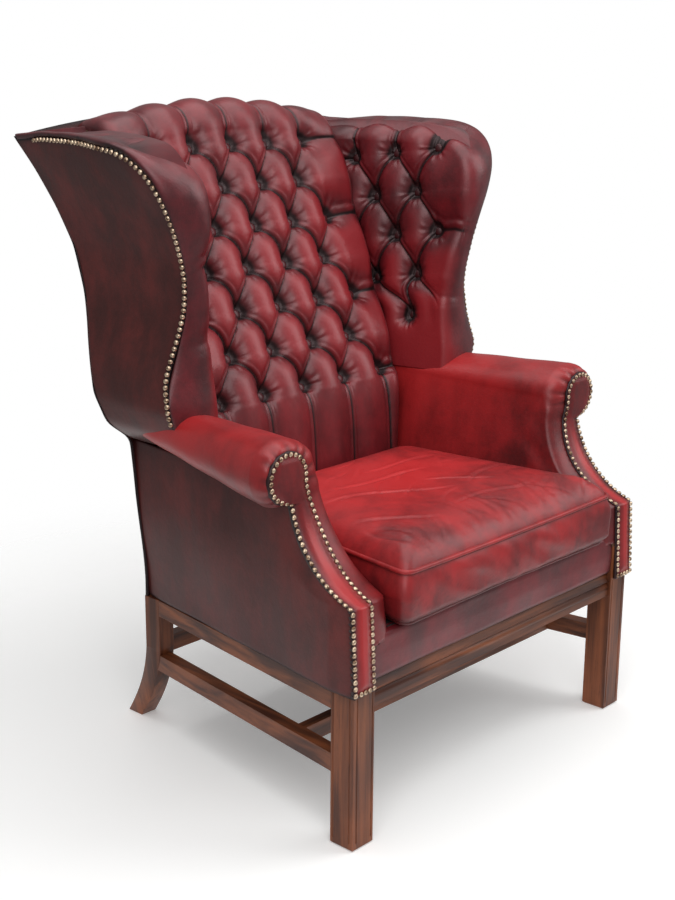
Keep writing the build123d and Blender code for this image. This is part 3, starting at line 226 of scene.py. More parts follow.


# %% [markdown]
# ## Wood, brass and cloth
#
# Mahogany has long dark pores on a red brown ground. Stretching a noise along the board gives
# pores, so each board's material is told which way it runs. The nails are cast brass, brighter
# and darker from nail to nail. Webbing and lining hide inside, and need only a plain weave.


# %% Wood
def timber(name, along, dark, light, gloss):
    """Wood whose pores run along one axis, 0 for x, 1 for y and 2 for z."""
    place = start(f"{name} {'xyz'[along]}")
    grain = place * tuple(0.06 if axis == along else 1.0 for axis in range(3))
    bands = grain.noise(55.0, 4.0, Distortion=0.6)
    pores = grain.noise(420.0, 3.0, Roughness=0.7)
    patch = place.noise(7.0, 3.0)
    colour = (bands * 0.7 + patch * 0.3).held(0.34, 0.66).mix(tone(*dark), tone(*light))
    pored = pores.held(0.56, 0.72)
    height = bands * 0.4 - pored * 0.6
    sockets = {
        "Base Color": (pored * 0.55).mix(colour, tone(30, 12, 9)),
        "Roughness": gloss + (patch - 0.5) * 0.2,
        "Normal": place.node("Bump", None, {"Height": height, "Strength": 0.25, "Distance": 0.0006}),
        "Specular IOR Level": 0.4,
    }
    return place.node("BsdfPrincipled", None, sockets).close()


woods = {
    "mahogany": [timber("mahogany", axis, (62, 28, 15), (132, 73, 42), 0.44) for axis in range(3)],
    "frame_wood": [timber("stained beech", axis, (50, 29, 20), (88, 55, 38), 0.6) for axis in range(3)],
}
print("woods:", *woods)


# %% Brass and cloth
def brass():
    """Cast brass, brighter and darker from nail to nail."""
    place = start("aged brass")
    stain = place.noise(240.0, 3.0)
    each = place.noise(45.0, 1.0)
    colour = (stain * 0.6 + each * 0.4).held(0.36, 0.62).mix(tone(128, 99, 78), tone(234, 210, 182))
    sockets = {"Base Color": colour, "Metallic": 1.0, "Roughness": 0.24 + stain * 0.24}
    return place.node("BsdfPrincipled", None, sockets).close()


def weave(name, dark, light, count):
    """A plain weave: two crossed sets of threads, count to the metre."""
    place = start(name)
    threads = [
        place.node("TexWave", {"bands_direction": axis}, {"Vector": place, "Scale": count, "Distortion": 0.3})
        for axis in "XY"
    ]
    height = threads[0].sum("MAXIMUM", *threads)
    bump = place.node("Bump", None, {"Height": height, "Strength": 0.4, "Distance": 0.0008})
    # The colour follows the threads' height, lighter on top and darker between them: painted shade.
    sockets = {"Base Color": height.mix(dark, light), "Roughness": 0.9, "Normal": bump}
    return place.node("BsdfPrincipled", None, sockets).close()


covers["nail_brass"] = brass()
covers["webbing"] = weave("jute webbing", tone(108, 84, 54), tone(176, 144, 98), 90.0)
covers["lining_cloth"] = weave("black lining", tone(22, 20, 20), tone(48, 45, 44), 260.0)
print("covers:", *covers)

# %% Floor
FLOOR_GLOW = 0.17
FADE_FROM, FADE_TO, FLOOR_RADIUS = 0.75, 1.5, 1.6


def pale_floor():
    """A pale floor that keeps the chair's shadow and fades out around it."""
    place = start("pale floor")
    away = place.node("VectorMath", {"operation": "LENGTH"}, {0: place}, 1)
    speckle = place.noise(40.0, 3.0)
    sockets = {
        "Base Color": (speckle * 0.5 + 0.25).mix(tone(248, 248, 247), tone(253, 253, 252)),
        "Roughness": 0.9,
        "Emission Color": (1, 1, 1, 1),
        "Emission Strength": FLOOR_GLOW,
    }
    ground = place.node("BsdfPrincipled", None, sockets)
    clear = place.node("BsdfTransparent")
    faded = {0: away.held(FADE_FROM, FADE_TO), 1: ground, 2: clear}
    return place.node("MixShader", None, faded).close()


bpy.ops.mesh.primitive_circle_add(vertices=96, radius=FLOOR_RADIUS, fill_type="NGON")
floor = bpy.context.object
floor.name = "floor"
floor.data.materials.append(pale_floor())
print("floor:", FLOOR_RADIUS, "m in radius")

# %% A dim white room behind a white backdrop
ROOM_LIGHT = 0.3
world = bpy.data.worlds.new("studio")
bpy.context.scene.world = world
world.use_nodes = True
world.node_tree.nodes.clear()
studio = Link(world)
rays = [studio.node("LightPath", output=f"Is {kind} Ray") for kind in ("Camera", "Transmission")]
seen = rays[0].sum("MAXIMUM", *rays)
room = studio.node("Background", None, {"Color": (1, 1, 1, 1), "Strength": ROOM_LIGHT})
backdrop = studio.node("Background", None, {"Color": (1, 1, 1, 1), "Strength": 1.0})
studio.node("MixShader", None, {0: seen, 1: room, 2: backdrop}).close("OutputWorld")
print("room light:", ROOM_LIGHT)

# %% [markdown]
# ## The frame keeps its solids
#
# The boards already have their true shape, so they only need a finish. A solid from a CAD file
# has knife edges. Welding its doubled points and bevelling by about a millimetre gives each
# edge the thin highlight that real, handled wood has. The boards inside the wings get a much
# rounder edge, so that they stay under their leather.

# %% Finish the frame
RAILS_ACROSS = ("front_seat_rail", "rear_seat_rail", "crest_rail", "stay_rail")
ALONG_X = (*RAILS_ACROSS, "cross_stretcher", "rear_stretcher")
ALONG_Y = ("side_seat_rail", "side_stretcher", "arm_rail")
DOUBLED, SHARP_EDGE, WING_BOARD_EDGE = 0.01 * MM, 1.1 * MM, 10 * MM
for node in frame["record"]["subparts"]:
    name, slot = node["node"], node["material_slot"]
    solid = frame["nodes"][name]
    grain = 0 if name in ALONG_X else 1 if name.startswith(ALONG_Y) else 2
    solid.data.materials.clear()
    solid.data.materials.append(woods[slot][grain] if slot in woods else covers[slot])
    if slot in woods:
        weld = solid.modifiers.new("weld", "WELD")
        weld.merge_threshold = DOUBLED
        bevel = solid.modifiers.new("bevel", "BEVEL")
        bevel.width, bevel.segments, bevel.limit_method = SHARP_EDGE, 2, "ANGLE"
        if name.startswith("wing_frame"):
            bevel.width, bevel.segments = WING_BOARD_EDGE, 4
        bevel.harden_normals = True

# %% [markdown]
# ## Meshes from grids of points
#
# All the leather is laid out as grids: rows of points that follow the piece one way, columns
# the other. A few helpers turn a grid into faces, close it into a solid form, and mirror it to
# the other side of the chair. Others shape it: a smooth step, a bell round a line, and a
# shade that fades away from it.


# %% Faces of a grid
def quads(rows, columns, wrap=False, first=0):
    """Faces of a grid of points, closed on itself across the columns if it wraps."""
    index = first + np.arange(rows * columns).reshape(rows, columns)
    if wrap:
        index = np.concatenate((index, index[:, :1]), axis=1)
    corners = (index[:-1, :-1], index[:-1, 1:], index[1:, 1:], index[1:, :-1])
    return np.stack(corners, -1).reshape(-1, 4).tolist()


def rim_of(rows, columns):
    """Numbers of the points round the edge of a grid."""
    grid = np.arange(rows * columns).reshape(rows, columns)
    return np.concatenate((grid[0, :-1], grid[:-1, -1], grid[-1, :0:-1], grid[:0:-1, 0]))


def joined(first, second):
    """Faces between two rings of point numbers."""
    return np.stack((first, np.roll(first, -1), np.roll(second, -1), second), -1).tolist()


def backed(grid, behind):
    """Close a grid with its own rim, moved behind, and one face over that."""
    rows, columns = grid.shape[:2]
    points, rim = grid.reshape(-1, 3), rim_of(rows, columns)
    extra = len(points) + np.arange(len(rim))
    faces = [*quads(rows, columns), *joined(rim, extra), extra[::-1].tolist()]
    return np.vstack((points, behind(points[rim]))), faces


def shell(outer, inward):
    """Close a grid of points with a second one, moved behind it by a vector."""
    rows, columns = outer.shape[:2]
    points = np.concatenate((outer.reshape(-1, 3), (outer + inward).reshape(-1, 3)))
    count, rim = rows * columns, rim_of(rows, columns)
    behind = [f[::-1] for f in quads(rows, columns, first=count)]
    return points, [*quads(rows, columns), *behind, *joined(rim, rim + count)]


# %% Pieces from points
def piece(name, points, faces, slot, marks=None, body="chair", cover=None, replaces=True):
    """A smooth closed mesh from points in millimetres, riding on a body."""
    mesh = bpy.data.meshes.new(name)
    mesh.from_pydata((np.asarray(points).reshape(-1, 3) * MM).tolist(), [], faces)
    for key, values in (marks or {}).items():
        values = np.asarray(values, float).ravel()
        rest = values[-1] if key == "worn" else 0
        full = np.pad(values, (0, len(mesh.vertices) - len(values)), constant_values=rest)
        mesh.attributes.new(key, "FLOAT", "POINT").data.foreach_set("value", full)
    work = bmesh.new()
    work.from_mesh(mesh)
    bmesh.ops.recalc_face_normals(work, faces=work.faces)
    work.to_mesh(mesh)
    work.free()
    mesh.shade_smooth()
    mesh.materials.append(cover or covers[slot])
    made = bpy.data.objects.new(name, mesh)
    bpy.context.scene.collection.objects.link(made)
    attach(made, body)
    if replaces:
        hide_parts(name)
    return made


def pair(name, points, faces, slot, marks=None, fill=None, replaces=True):
    """The same piece for the right side and, mirrored, for the left."""
    points = np.asarray(points).reshape(-1, 3)
    for side, sign in (("right", 1), ("left", -1)):
        made = piece(f"{name}_{side}", points * (sign, 1, 1), faces, slot, marks, replaces=replaces)
    print(name, "pair:", len(faces), "faces a side")


def panel(make, name, outer, inward, slot, crease, worn, **more):
    """A thin piece, or a pair of them, with the same marks on both its skins."""
    points, faces = shell(outer, inward)
    marks = {"crease": np.tile(crease.ravel(), 2), "worn": np.tile((worn + 0 * crease).ravel(), 2)}
    make(name, points, faces, slot, marks, **more)


# %% Shaping numbers
def steps(values, start, end):
    """Smooth run from 0 at start to 1 at end."""
    share = np.clip((values - start) / (end - start), 0, 1)
    return share * share * (3 - 2 * share)


def bell(distance, width):
    """1 at no distance, falling off smoothly on both sides."""
    return np.exp(-((distance / width) ** 2))


def fading(distance, reach):
    """1 at no distance, fading away from there."""
    return np.exp(-distance / reach)


def wave(values, length, shift=0.0):
    """A ripple whose crests lie 2 pi lengths apart."""
    return np.sin(values / length + shift)


# %% Shaping lines
def unit(vectors):
    """Vectors scaled to a length of 1."""
    return vectors / np.maximum(np.linalg.norm(vectors, axis=-1, keepdims=True), 1e-9)


def travelled(points):
    """How far each point of a line lies from its start, along the line."""
    return np.concatenate(([0], np.cumsum(np.linalg.norm(np.diff(points, axis=0), axis=1))))


def along(points, count=None, pitch=None):
    """Points spaced evenly along a line of points, by count or by pitch."""
    points = np.asarray(points, float)
    run = travelled(points)
    count = count or max(2, int(round(run[-1] / pitch)) + 1)
    at = np.linspace(0, run[-1], count)
    return np.stack([np.interp(at, run, values) for values in points.T], -1)


def soften(line, rounds):
    """Average each point of a line with its neighbours, and keep both ends."""
    for _ in range(rounds):
        line[1:-1] = (line[:-2] + 2 * line[1:-1] + line[2:]) / 4
    return line


def smooth(points, count):
    """A rounded line through knots: resampled, then softened."""
    return soften(along(points, count), max(2, count // 14))


def facing_out(grid, at, toward):
    """Unit normals of a grid of points, all on the side where one of them faces a vector."""
    normal = unit(np.cross(np.gradient(grid, axis=0), np.gradient(grid, axis=1)))
    return normal if normal[at] @ toward > 0 else -normal


def spoke(turn):
    """Unit vectors in a plane at some angles."""
    return np.stack((np.cos(turn), np.sin(turn)), -1)


def circle(first, middle, last):
    """Centre and radius of the circle through three points, or of many such circles at once."""
    (ax, ay), (bx, by), (cx, cy) = (np.moveaxis(np.asarray(p, float), -1, 0) for p in (first, middle, last))
    d = 2 * (ax * (by - cy) + bx * (cy - ay) + cx * (ay - by))
    a, b, c = ax**2 + ay**2, bx**2 + by**2, cx**2 + cy**2
    x = (a * (by - cy) + b * (cy - ay) + c * (ay - by)) / d
    y = (a * (cx - bx) + b * (ax - cx) + c * (bx - ax)) / d
    return np.stack((x, y), -1), np.hypot(ax - x, ay - y)


def arc(first, middle, last, count):
    """Points along the arc through three points, or along many arcs, and how far each has run."""
    centre, radius = circle(first, middle, last)
    away = np.array((first, middle, last), float) - centre
    turn = np.unwrap(np.arctan2(away[..., 1], away[..., 0]), axis=0)
    turns = np.linspace(turn[0], turn[2], count)
    return centre + radius[..., None] * spoke(turns), radius * np.abs(turns - turn[0])


# %% The chair's main lines, in millimetres
FRONT = -374.0
BACK_ARC = circle((196.0, 263.0), (230.0, 662.5), (377.0, 1062.0))


def back_y(z, inset=0.0):
    """Depth of the outside back at a height."""
    (y, up), radius = BACK_ARC
    return y - inset - np.sqrt(radius**2 - (np.asarray(z, float) - up) ** 2)


swept, _ = arc((-372, 408), (-286, 462), (-244, 550), 24)
SWEEP = np.vstack(([(-380, 266), (-372.5, 400)], swept, [(-244, 560), (-244, 640)]))


def facing_y(z):
    """Depth of the facing's front at a height: upright, swept back, then upright again."""
    return np.interp(z, SWEEP[:, 1], SWEEP[:, 0])


print("facing and outside back, 500 mm up:", [round(float(y(500)), 1) for y in (facing_y, back_y)])


# %% [markdown]
# ## How deep buttoning folds
#
# Each button is pulled deep into the stuffing. The spare leather between neighbours is tucked
# into a pleat, so the pillows between are diamonds. The pleats aren't straight: each leaves a
# button almost level, bends over, and drops onto the next button from above. The upper pillow
# bulges over the pleat with a rolled lip, and the lower one slopes gently up to it. Outside the
# last buttons the pleats run straight to the edge. One function gives all of this for the back
# and for the wings, on a grid counted in buttons.

# %% Buttoning, in millimetres and in shares of a row
BOW = 0.2  # how far a pleat bends, as a share of a row
STRAIGHTENS, FLATTENS = 25, 90  # how far past the last buttons a pleat has changed
LIP_AT, LIP_WIDTH, DIP_AT, DIP_WIDTH = 4.5, 2.4, 9.5, 3
# Widths of the painted shade in and beside each pleat, in millimetres.
LINE_WIDTH, SHADE_REACH = 1.9, 7
PIT_WIDTH, PULL_WIDTH = 15, 30
RAYS_AT, RAYS_WIDTH = 21, 9
FAR = 99


def hump(share):
    """Rise across a pillow, steep at its lower edge and gentle at its upper one."""
    return np.sin(np.pi * np.clip(share, 0, 1) ** 0.8) ** 0.55


def buttoned(column, row, limits, spots, size, deep, pleat, pleats_last=900, bare_front=False):
    """Height and painted shade at points counted in buttons, with the pillows' crests at 0."""
    low_column, high_column, low_row, high_row = limits
    pitch, step = size
    bowed = row - BOW * np.abs(np.sin(np.pi * row))
    inside = np.clip(column, low_column, high_column)
    level = np.clip(bowed, low_row, high_row)
    one, two = np.mod(inside + level / 2, 1), np.mod(inside - level / 2, 1)
    past_column = np.maximum(np.maximum(low_column - column, column - high_column), 0)
    past_row = np.maximum(np.maximum(low_row - bowed, bowed - high_row), 0)
    corner = (past_column > 0) & (past_row > 0)
    in_corner = hump(np.minimum(past_column, 0.6)) * hump(np.minimum(past_row / 2, 0.6))
    rise = np.where(corner, in_corner, hump(one) * hump(1 - two))
    across = pitch / np.hypot(1, pitch / (2 * step))
    across = across + (2 * step - across) * steps(past_column * pitch, 0, STRAIGHTENS)
    across = across + (pitch - across) * steps(past_row * step, 0, STRAIGHTENS) * (past_column == 0)
    lower = np.minimum(one, 1 - two) * across
    near = np.minimum(lower, np.minimum(1 - one, two) * across)
    near = np.where(corner, np.minimum(past_column * pitch, past_row * step), near)
    lower = np.where(corner, FAR, lower)
    outside = steps(np.maximum(past_column * pitch, past_row * step), 0, FLATTENS)
    lasting = bell(np.maximum(low_row - bowed, 0) * step, pleats_last)
    if bare_front:
        lasting *= 1 - (1 - steps(row, -1.9, -1.2)) * steps(column, 0.55, 0.9)
    height = -pleat * (1 - 0.35 * outside) * (1 - rise) * lasting
    lip = bell(lower - LIP_AT, LIP_WIDTH) - 0.8 * bell(lower - DIP_AT, DIP_WIDTH)
    height += 1.8 * lip * (lower < 30) * lasting
    # Painted shade: a dark line in each pleat and a fainter shade beside it.
    dark = (0.95 * bell(near, LINE_WIDTH) + 0.16 * fading(near, SHADE_REACH)) * lasting
    pull = np.zeros_like(height)
    for count, (spot_column, spot_row) in enumerate(spots):
        dx, dy = (column - spot_column) * pitch, (row - spot_row) * step
        away = np.hypot(dx, dy * np.where(dy > 0, 0.72, 1.15))
        angle = np.arctan2(dy, dx)
        pull = np.maximum(pull, bell(away, PIT_WIDTH) + 0.35 * bell(away, PULL_WIDTH))
        rays = np.cos(9 * angle + count * 2.1) + 0.6 * np.cos(14 * angle + count)
        height += 0.75 * rays * bell(away - RAYS_AT, RAYS_WIDTH)
        level_fold = bell(dy, 2.2) * steps(-np.abs(dx), -34, -12) * (np.sin(count * 3.3) > -0.5)
        height -= 1.3 * level_fold
        # Painted shade in the level fold beside a button.
        dark += 0.25 * level_fold
    height -= (deep - pleat) * np.minimum(pull, 1)
    # The pits get painted shade too, near black at their bottoms.
    return height, np.clip(dark + steps(pull, 0.32, 0.95) + 0.1 * pull, 0, 1)


# %% [markdown]
# ## The buttoned back
#
# The back pad is upright behind the cushion, slopes back from there, and rolls over the crest.
# A column of points follows that line from bottom to top, the same way at each place across,
# and the arched crest drops towards its ends.

# %% Line of the back
LEAN = 0.4492  # how far the slope goes back for each millimetre up
FACE_Y, FACE_Z = 174.0, 838.6  # the button row in the middle of the slope
PAD_FOOT, SLOPE_FOOT, SLOPE_TOP, PEAK = 352.0, 609.0, 1075, (338, 1129)
PAD_HALF, FOOT_HALF, ARCH, TOP_ARCH, TOP = 288, 228, 1139.4, 4008, 1108
ACROSS, LOW_ROWS, SLOPE_ROWS, CREST_ROWS = 231, 60, 200, 60
KNEE, KNEE_ROUNDS = (25, LOW_ROWS + 25), 280


def slope_y(z):
    """Depth of the slope at a height."""
    return FACE_Y + LEAN * (z - FACE_Z)


share_x = np.linspace(-1, 1, ACROSS)[None, :]
arch_x = share_x[0] * PAD_HALF
drop = ARCH - np.sqrt(ARCH**2 - arch_x**2)
front_z = SLOPE_TOP - drop
low_z = np.linspace(PAD_FOOT, SLOPE_FOOT, LOW_ROWS)[:-1, None] + 0 * share_x
low_y = np.interp(low_z, [PAD_FOOT, 556, 590, SLOPE_FOOT], [57, 57.5, 62, slope_y(SLOPE_FOOT)])
slope_z = SLOPE_FOOT + (front_z - SLOPE_FOOT) * np.linspace(0, 1, SLOPE_ROWS)[:, None]
top_z = TOP - arch_x**2 / TOP_ARCH
first = np.stack((slope_y(front_z), front_z), -1)
peak = np.stack((PEAK[0] - LEAN * drop, PEAK[1] - drop), -1)
last = np.stack((back_y(top_z, 1), top_z), -1)
crest, crest_run = (part[1:] for part in arc(first, peak, last, CREST_ROWS))
pad_y = np.vstack((low_y, slope_y(slope_z), crest[..., 0]))
pad_z = np.vstack((low_z, slope_z, crest[..., 1]))
low, high = KNEE
for _ in range(KNEE_ROUNDS):
    pad_y[low:high] = (pad_y[low - 1 : high - 1] + pad_y[low + 1 : high + 1]) / 2
half = np.interp(pad_z, [PAD_FOOT, 1020], [FOOT_HALF, PAD_HALF])
pad = np.stack((share_x * half, pad_y, pad_z), -1)
outward = facing_out(pad, (LOW_ROWS * 2, ACROSS // 2), (0, -1, 0))
print("crest of the back:", round(float(pad_z.max()), 1), "mm high")

# %% Buttons of the back
BUTTON, ROW, NARROWS = 101.0, 78.5, 1.75
PIT, PLEAT = 37, 19
PAD_EDGE = 24  # radius of the pad's side edges
travel = (pad_z - FACE_Z) * np.hypot(1, LEAN) / ROW
crest_start = LOW_ROWS - 1 + SLOPE_ROWS
travel[crest_start:] = travel[crest_start - 1] + crest_run / ROW
travel[: LOW_ROWS - 1] = np.minimum(travel[: LOW_ROWS - 1], -3.05)
column = pad[..., 0] / (BUTTON - NARROWS * np.clip(travel, -3, 3)) - 0.5
back_spots = [(c - 0.5 * (r % 2), r) for r in range(-3, 4) for c in range(-2, 2 + r % 2)]
sink, dark = buttoned(column, travel, (-2.5, 1.5, -3, 3), back_spots, (BUTTON, ROW), PIT, PLEAT)
edge = half * (1 - np.abs(share_x))
rounding = PAD_EDGE * (1 - np.sqrt(1 - (1 - np.clip(edge / PAD_EDGE, 0, 1)) ** 2))
rows = len(pad)
fade = 1 - 0.8 * steps(np.arange(rows)[:, None], rows - 16, rows)
sink = sink * fade * steps(edge, -6, 12) - rounding
pad += outward * sink[..., None]
# Painted shade on the pad's rounded side edges, where they turn away.
dark = np.clip(dark + 0.5 * steps(-edge, -26, 0), 0, 1)
rub = 0.42 + 0.5 * steps(sink, -14, -1) * steps(-np.abs(travel + 0.3), -4.6, 0)
print("back pad:", pad.shape[:2], "deepest", round(float(sink.min()), 1), "mm")


# %% Close the back pad
def back_wall(rim):
    """The edge of the pad, moved back to the frame behind it."""
    depth = np.interp(rim[:, 2], [PAD_FOOT, 430, 1020, 1104], [133, 133, 323, 360])
    height = np.minimum(rim[:, 2], 1103 - rim[:, 0] ** 2 / TOP_ARCH)
    return np.column_stack((rim[:, 0], depth, height))


points, faces = backed(pad, back_wall)
back = piece("back_pad", points, faces, "tufted_leather", {"crease": dark, "worn": rub})
print("back pad:", len(faces), "faces")


# %% Covered buttons
def studs(centres, normals, radius, height, rings=4, sides=10):
    """Low domes on a surface, as points and faces."""
    points, faces = [], []
    spin = spoke(2 * np.pi * np.arange(sides) / sides)
    shrink, rise = spoke(np.pi / 2 * np.arange(rings) / rings).T[..., None, None]
    for place, normal in zip(centres, unit(np.asarray(normals, float))):
        side = unit(np.cross(normal, (0.3, 0.5, 0.81)))
        flat = spin @ np.stack((side, np.cross(normal, side)))
        dome = place + flat * radius * shrink + normal * height * rise
        base = len(points)
        points += [*dome.reshape(-1, 3), place + normal * height]
        tip = base + rings * sides
        faces += quads(rings, sides, True, base)
        faces += [(tip - sides + k, tip - sides + (k + 1) % sides, tip) for k in range(sides)]
        faces.append([base + k for k in range(sides)][::-1])
    return points, faces


def back_point(c, r):
    """Where a button of the back sits, at the bottom of its pit."""
    z = FACE_Z + r * ROW / np.hypot(1, LEAN)
    x = (c + 0.5) * (BUTTON - NARROWS * r)
    normal = np.array((0, -1, LEAN)) / np.hypot(1, LEAN)
    return np.array((x, slope_y(z), z)) - normal * (PIT - 1), normal


points, faces = studs(*zip(*(back_point(*spot) for spot in back_spots)), 10, 5, 4, 14)
# The covered buttons get some painted shade, as they sit at the bottom of their pits.
piece("back_buttons", points, faces, "tufted_leather", {"crease": [0.35] * len(points)})
print("back buttons:", len(back_spots))

# %% [markdown]
# ## The wings
#
# A wing is a padded board. Its inner face is buttoned like the back. The leather then rolls
# round the front and over the top, and is nailed along the outer edge, where a plain outer
# panel meets it. The nail line and the crest of the roll are two lines through knots, and the
# roll is two quarter ellipses that meet on the crest. The buttoned face is a fan of lines from
# the roll to the corner behind the back pad.

# %% Lines of the wing, in millimetres: the nails, then the crest of the roll
NAILED = [
    *((390, 18, 605), (404, 16, 656), (395, 26, 689), (385, 28, 714), (376, 25, 743), (369, 22, 770)),
    *((365, 16, 799), (367, 10, 829), (371, 5, 859), (379, 2, 887), (388, 0, 916), (399, -2, 943)),
    *((410, 0, 970), (420, 4, 995), (429, 13, 1019), (437, 29, 1039), (443, 53, 1056), (449, 82, 1067)),
    *((450, 119, 1071), (440, 172, 1075), (431, 225, 1076), (426, 294, 1075), (421, 370, 1068)),
]
ROLLED = [
    *((366, 4, 605), (365, 4, 652), (358, 9, 690), (352, 10, 715), (345, 11, 746), (342, 10, 775)),
    *((341, 5, 803), (341, 0, 832), (343, -7, 860), (347, -11, 889), (352, -17, 917), (358, -21, 944)),
    *((366, -22, 971), (375, -20, 997), (384, -9, 1024), (391, 9, 1046), (397, 32, 1062), (400, 58, 1073)),
    *((396, 92, 1080), (389, 150, 1083), (383, 212, 1083), (379, 288, 1082), (377, 370, 1073)),
]
EDGE_COUNT = 420
nailed, rolled = smooth(NAILED, EDGE_COUNT), smooth(ROLLED, EDGE_COUNT)
ORIGIN = np.array((287.0, 149.0, 864.0))  # the middle button
splay, tilt = np.radians(11.6), np.radians(4)
FORWARD = np.array((np.sin(splay), -np.cos(splay), 0))
INWARD = np.array((-np.cos(splay) * np.cos(tilt), -np.sin(splay) * np.cos(tilt), np.sin(tilt)))
UPWARD = np.cross(INWARD, FORWARD)


def on_board(flat):
    """Places on the wing's inner face, from distances forward and up from its middle button."""
    return ORIGIN + flat[..., :1] * FORWARD + flat[..., 1:] * UPWARD


print("nail line:", round(float(travelled(nailed)[-1])), "mm long")


# %% Inner face
FAN = 110
HUB_AT = (0, 0.5, 0.75, 1)
ROLL_WIDTH, FRONT_WIDER, TOP_WIDER, ROLL_ROUNDS = 27, 6, 17, 24
flat = np.stack(((rolled - ORIGIN) @ FORWARD, (rolled - ORIGIN) @ UPWARD), -1)
run = unit(np.gradient(flat, axis=0))
inset = np.linspace(0, 1, EDGE_COUNT)
width = ROLL_WIDTH + FRONT_WIDER * bell(inset - 0.5, 0.1) + TOP_WIDER * steps(inset, 0.5, 0.66)
inner = soften(flat + np.stack((-run[:, 1], run[:, 0]), -1) * width[:, None], ROLL_ROUNDS)
hub_forward = np.interp(inset, HUB_AT, [-52, -140, -190, inner[-1, 0]])
hub_up = np.interp(inset, HUB_AT, [inner[0, 1], 95, 165, inner[-1, 1]])
hub = np.column_stack((hub_forward, hub_up))
out = 1 - (1 - np.linspace(0, 1, FAN)) ** 1.15
fan = hub[:, None] + (inner - hub)[:, None] * out[None, :, None]
face = on_board(fan)
print("inner face:", face.shape[:2])

# %% Roll
ROLL, BULGE = 26, 13
bend = np.linspace(0, np.pi, ROLL + 1)[1:]
start_line = face[:, -1]
rising = run[:, 1:] * FORWARD - run[:, :1] * UPWARD
climb = ((rolled - start_line) * rising).sum(axis=1)[:, None] * rising
over = rolled - start_line - climb
flatly = unit(over)
onward = ((nailed - rolled) * flatly).sum(axis=1)[:, None] * flatly
down = nailed - rolled - onward
half_turn = np.minimum(bend, np.pi / 2)[None, :, None]
rest_turn = np.maximum(bend - np.pi / 2, 0)[None, :, None]
roll = start_line[:, None] + climb[:, None] * np.sin(half_turn) + over[:, None] * (1 - np.cos(half_turn))
roll += onward[:, None] * np.sin(rest_turn) + down[:, None] * (1 - np.cos(rest_turn))
swell = BULGE * steps(inset, 0.36, 0.47)[:, None, None] * np.sin(rest_turn) * np.sin(2 * rest_turn) ** 0.5
roll += swell * (flatly * 0.5 + (0, 0, 0.8))[:, None]
skin = np.concatenate((face, roll), axis=1)
print("roll:", roll.shape[:2])

# %% Buttons of the wing
WING_PITCH, WING_ROW, WING_LEAN, OFFSET = 91.2, 79.5, -5.2, 7.6
WING_PIT, WING_PLEAT, WING_PLEATS_LAST = 27, 15, 26
turned = np.radians(8.7)
wing_steps = np.array(((WING_PITCH * np.cos(turned), WING_LEAN), (WING_PITCH * np.sin(turned), WING_ROW)))
spread = np.concatenate((fan, np.repeat(fan[:, -1:], ROLL, axis=1)), axis=1)
column, row = np.moveaxis((spread - (OFFSET, 0)) @ np.linalg.inv(wing_steps).T, -1, 0)
low_shift = steps(-row, 1.1, 1.9)
column = column * (1 - low_shift) + low_shift * (column - 0.36) / 0.81
wing_spots = [
    *((-1, 2), (0, 2), (1, 2), (-0.5, 1), (0.5, 1), (-1, 0)),
    *((0, 0), (1, 0), (-0.5, -1), (0.5, -1), (-1, -2), (0, -2)),
]
wing_size = (WING_PITCH, WING_ROW)
depths = (WING_PIT, WING_PLEAT, WING_PLEATS_LAST)
sink, dark = buttoned(column, row, (-1, 1, -2, 2), wing_spots, wing_size, *depths, bare_front=True)
past = np.concatenate((np.zeros(FAN), bend))[None, :]
sink = sink * (1 - 0.95 * steps(past, 0.8, 2.5))
normals = facing_out(skin, (EDGE_COUNT // 3, FAN // 2), INWARD)
square = (1 - steps(past, 0.3, 1.5))[..., None]
skin += unit(normals * (1 - square) + INWARD * square) * sink[..., None]
# Painted shade: less on the roll, more on its outer side down to the nails, and a little low on the wing.
dark = dark * (1 - 0.75 * steps(past, 0.2, 1.7))
dark += 0.62 * steps(past, 2.55, 3.1) + 0.12 * steps(-row, 2.3, 3.2)
rub = 0.30 + 0.55 * steps(sink, -10, -1) * steps(-past, -1.2, -0.2) * steps(-row, -1.6, 1.8)
rub *= 1 - 0.8 * steps(past, 0.8, 2.2)
print("wing:", skin.shape[:2], "deepest", round(float(sink.min()), 1), "mm")

# %% Close the wing pads
BOARD = -32  # where the board's face lies, inward from the middle button
points, faces = backed(skin, lambda rim: rim + INWARD * (BOARD - (rim - ORIGIN) @ INWARD)[:, None])
marks = {"crease": np.clip(dark, 0, 1), "worn": rub}
pair("wing_pad", points, faces, "tufted_leather", marks, 0.8)
real_spots = np.array([*wing_spots[:10], (-0.45, -2), (0.36, -2)])
centres = on_board(real_spots @ wing_steps.T + (OFFSET, 0)) - INWARD * WING_PIT
points, faces = studs(centres, [INWARD] * len(centres), 9, 4, 4, 14)
# The wing's buttons get more painted shade, deep in their pits.
pair("wing_buttons", points, faces, "tufted_leather", {"crease": [0.6] * len(points)})


# %% [markdown]
# ## The plain outer leather
#
# The outside of a wing flares out at its foot and again at its top. The sides and the outside
# back are nearly flat. All three are leather over hessian, a few millimetres thick, drawn tight
# to the nails with a shallow pucker at each one.

# %% Flare of the wings
WING_FOOT, WING_TALL, FLARE_FRONT = 560, 518, 16
NARROW, WIDER = 334, 118
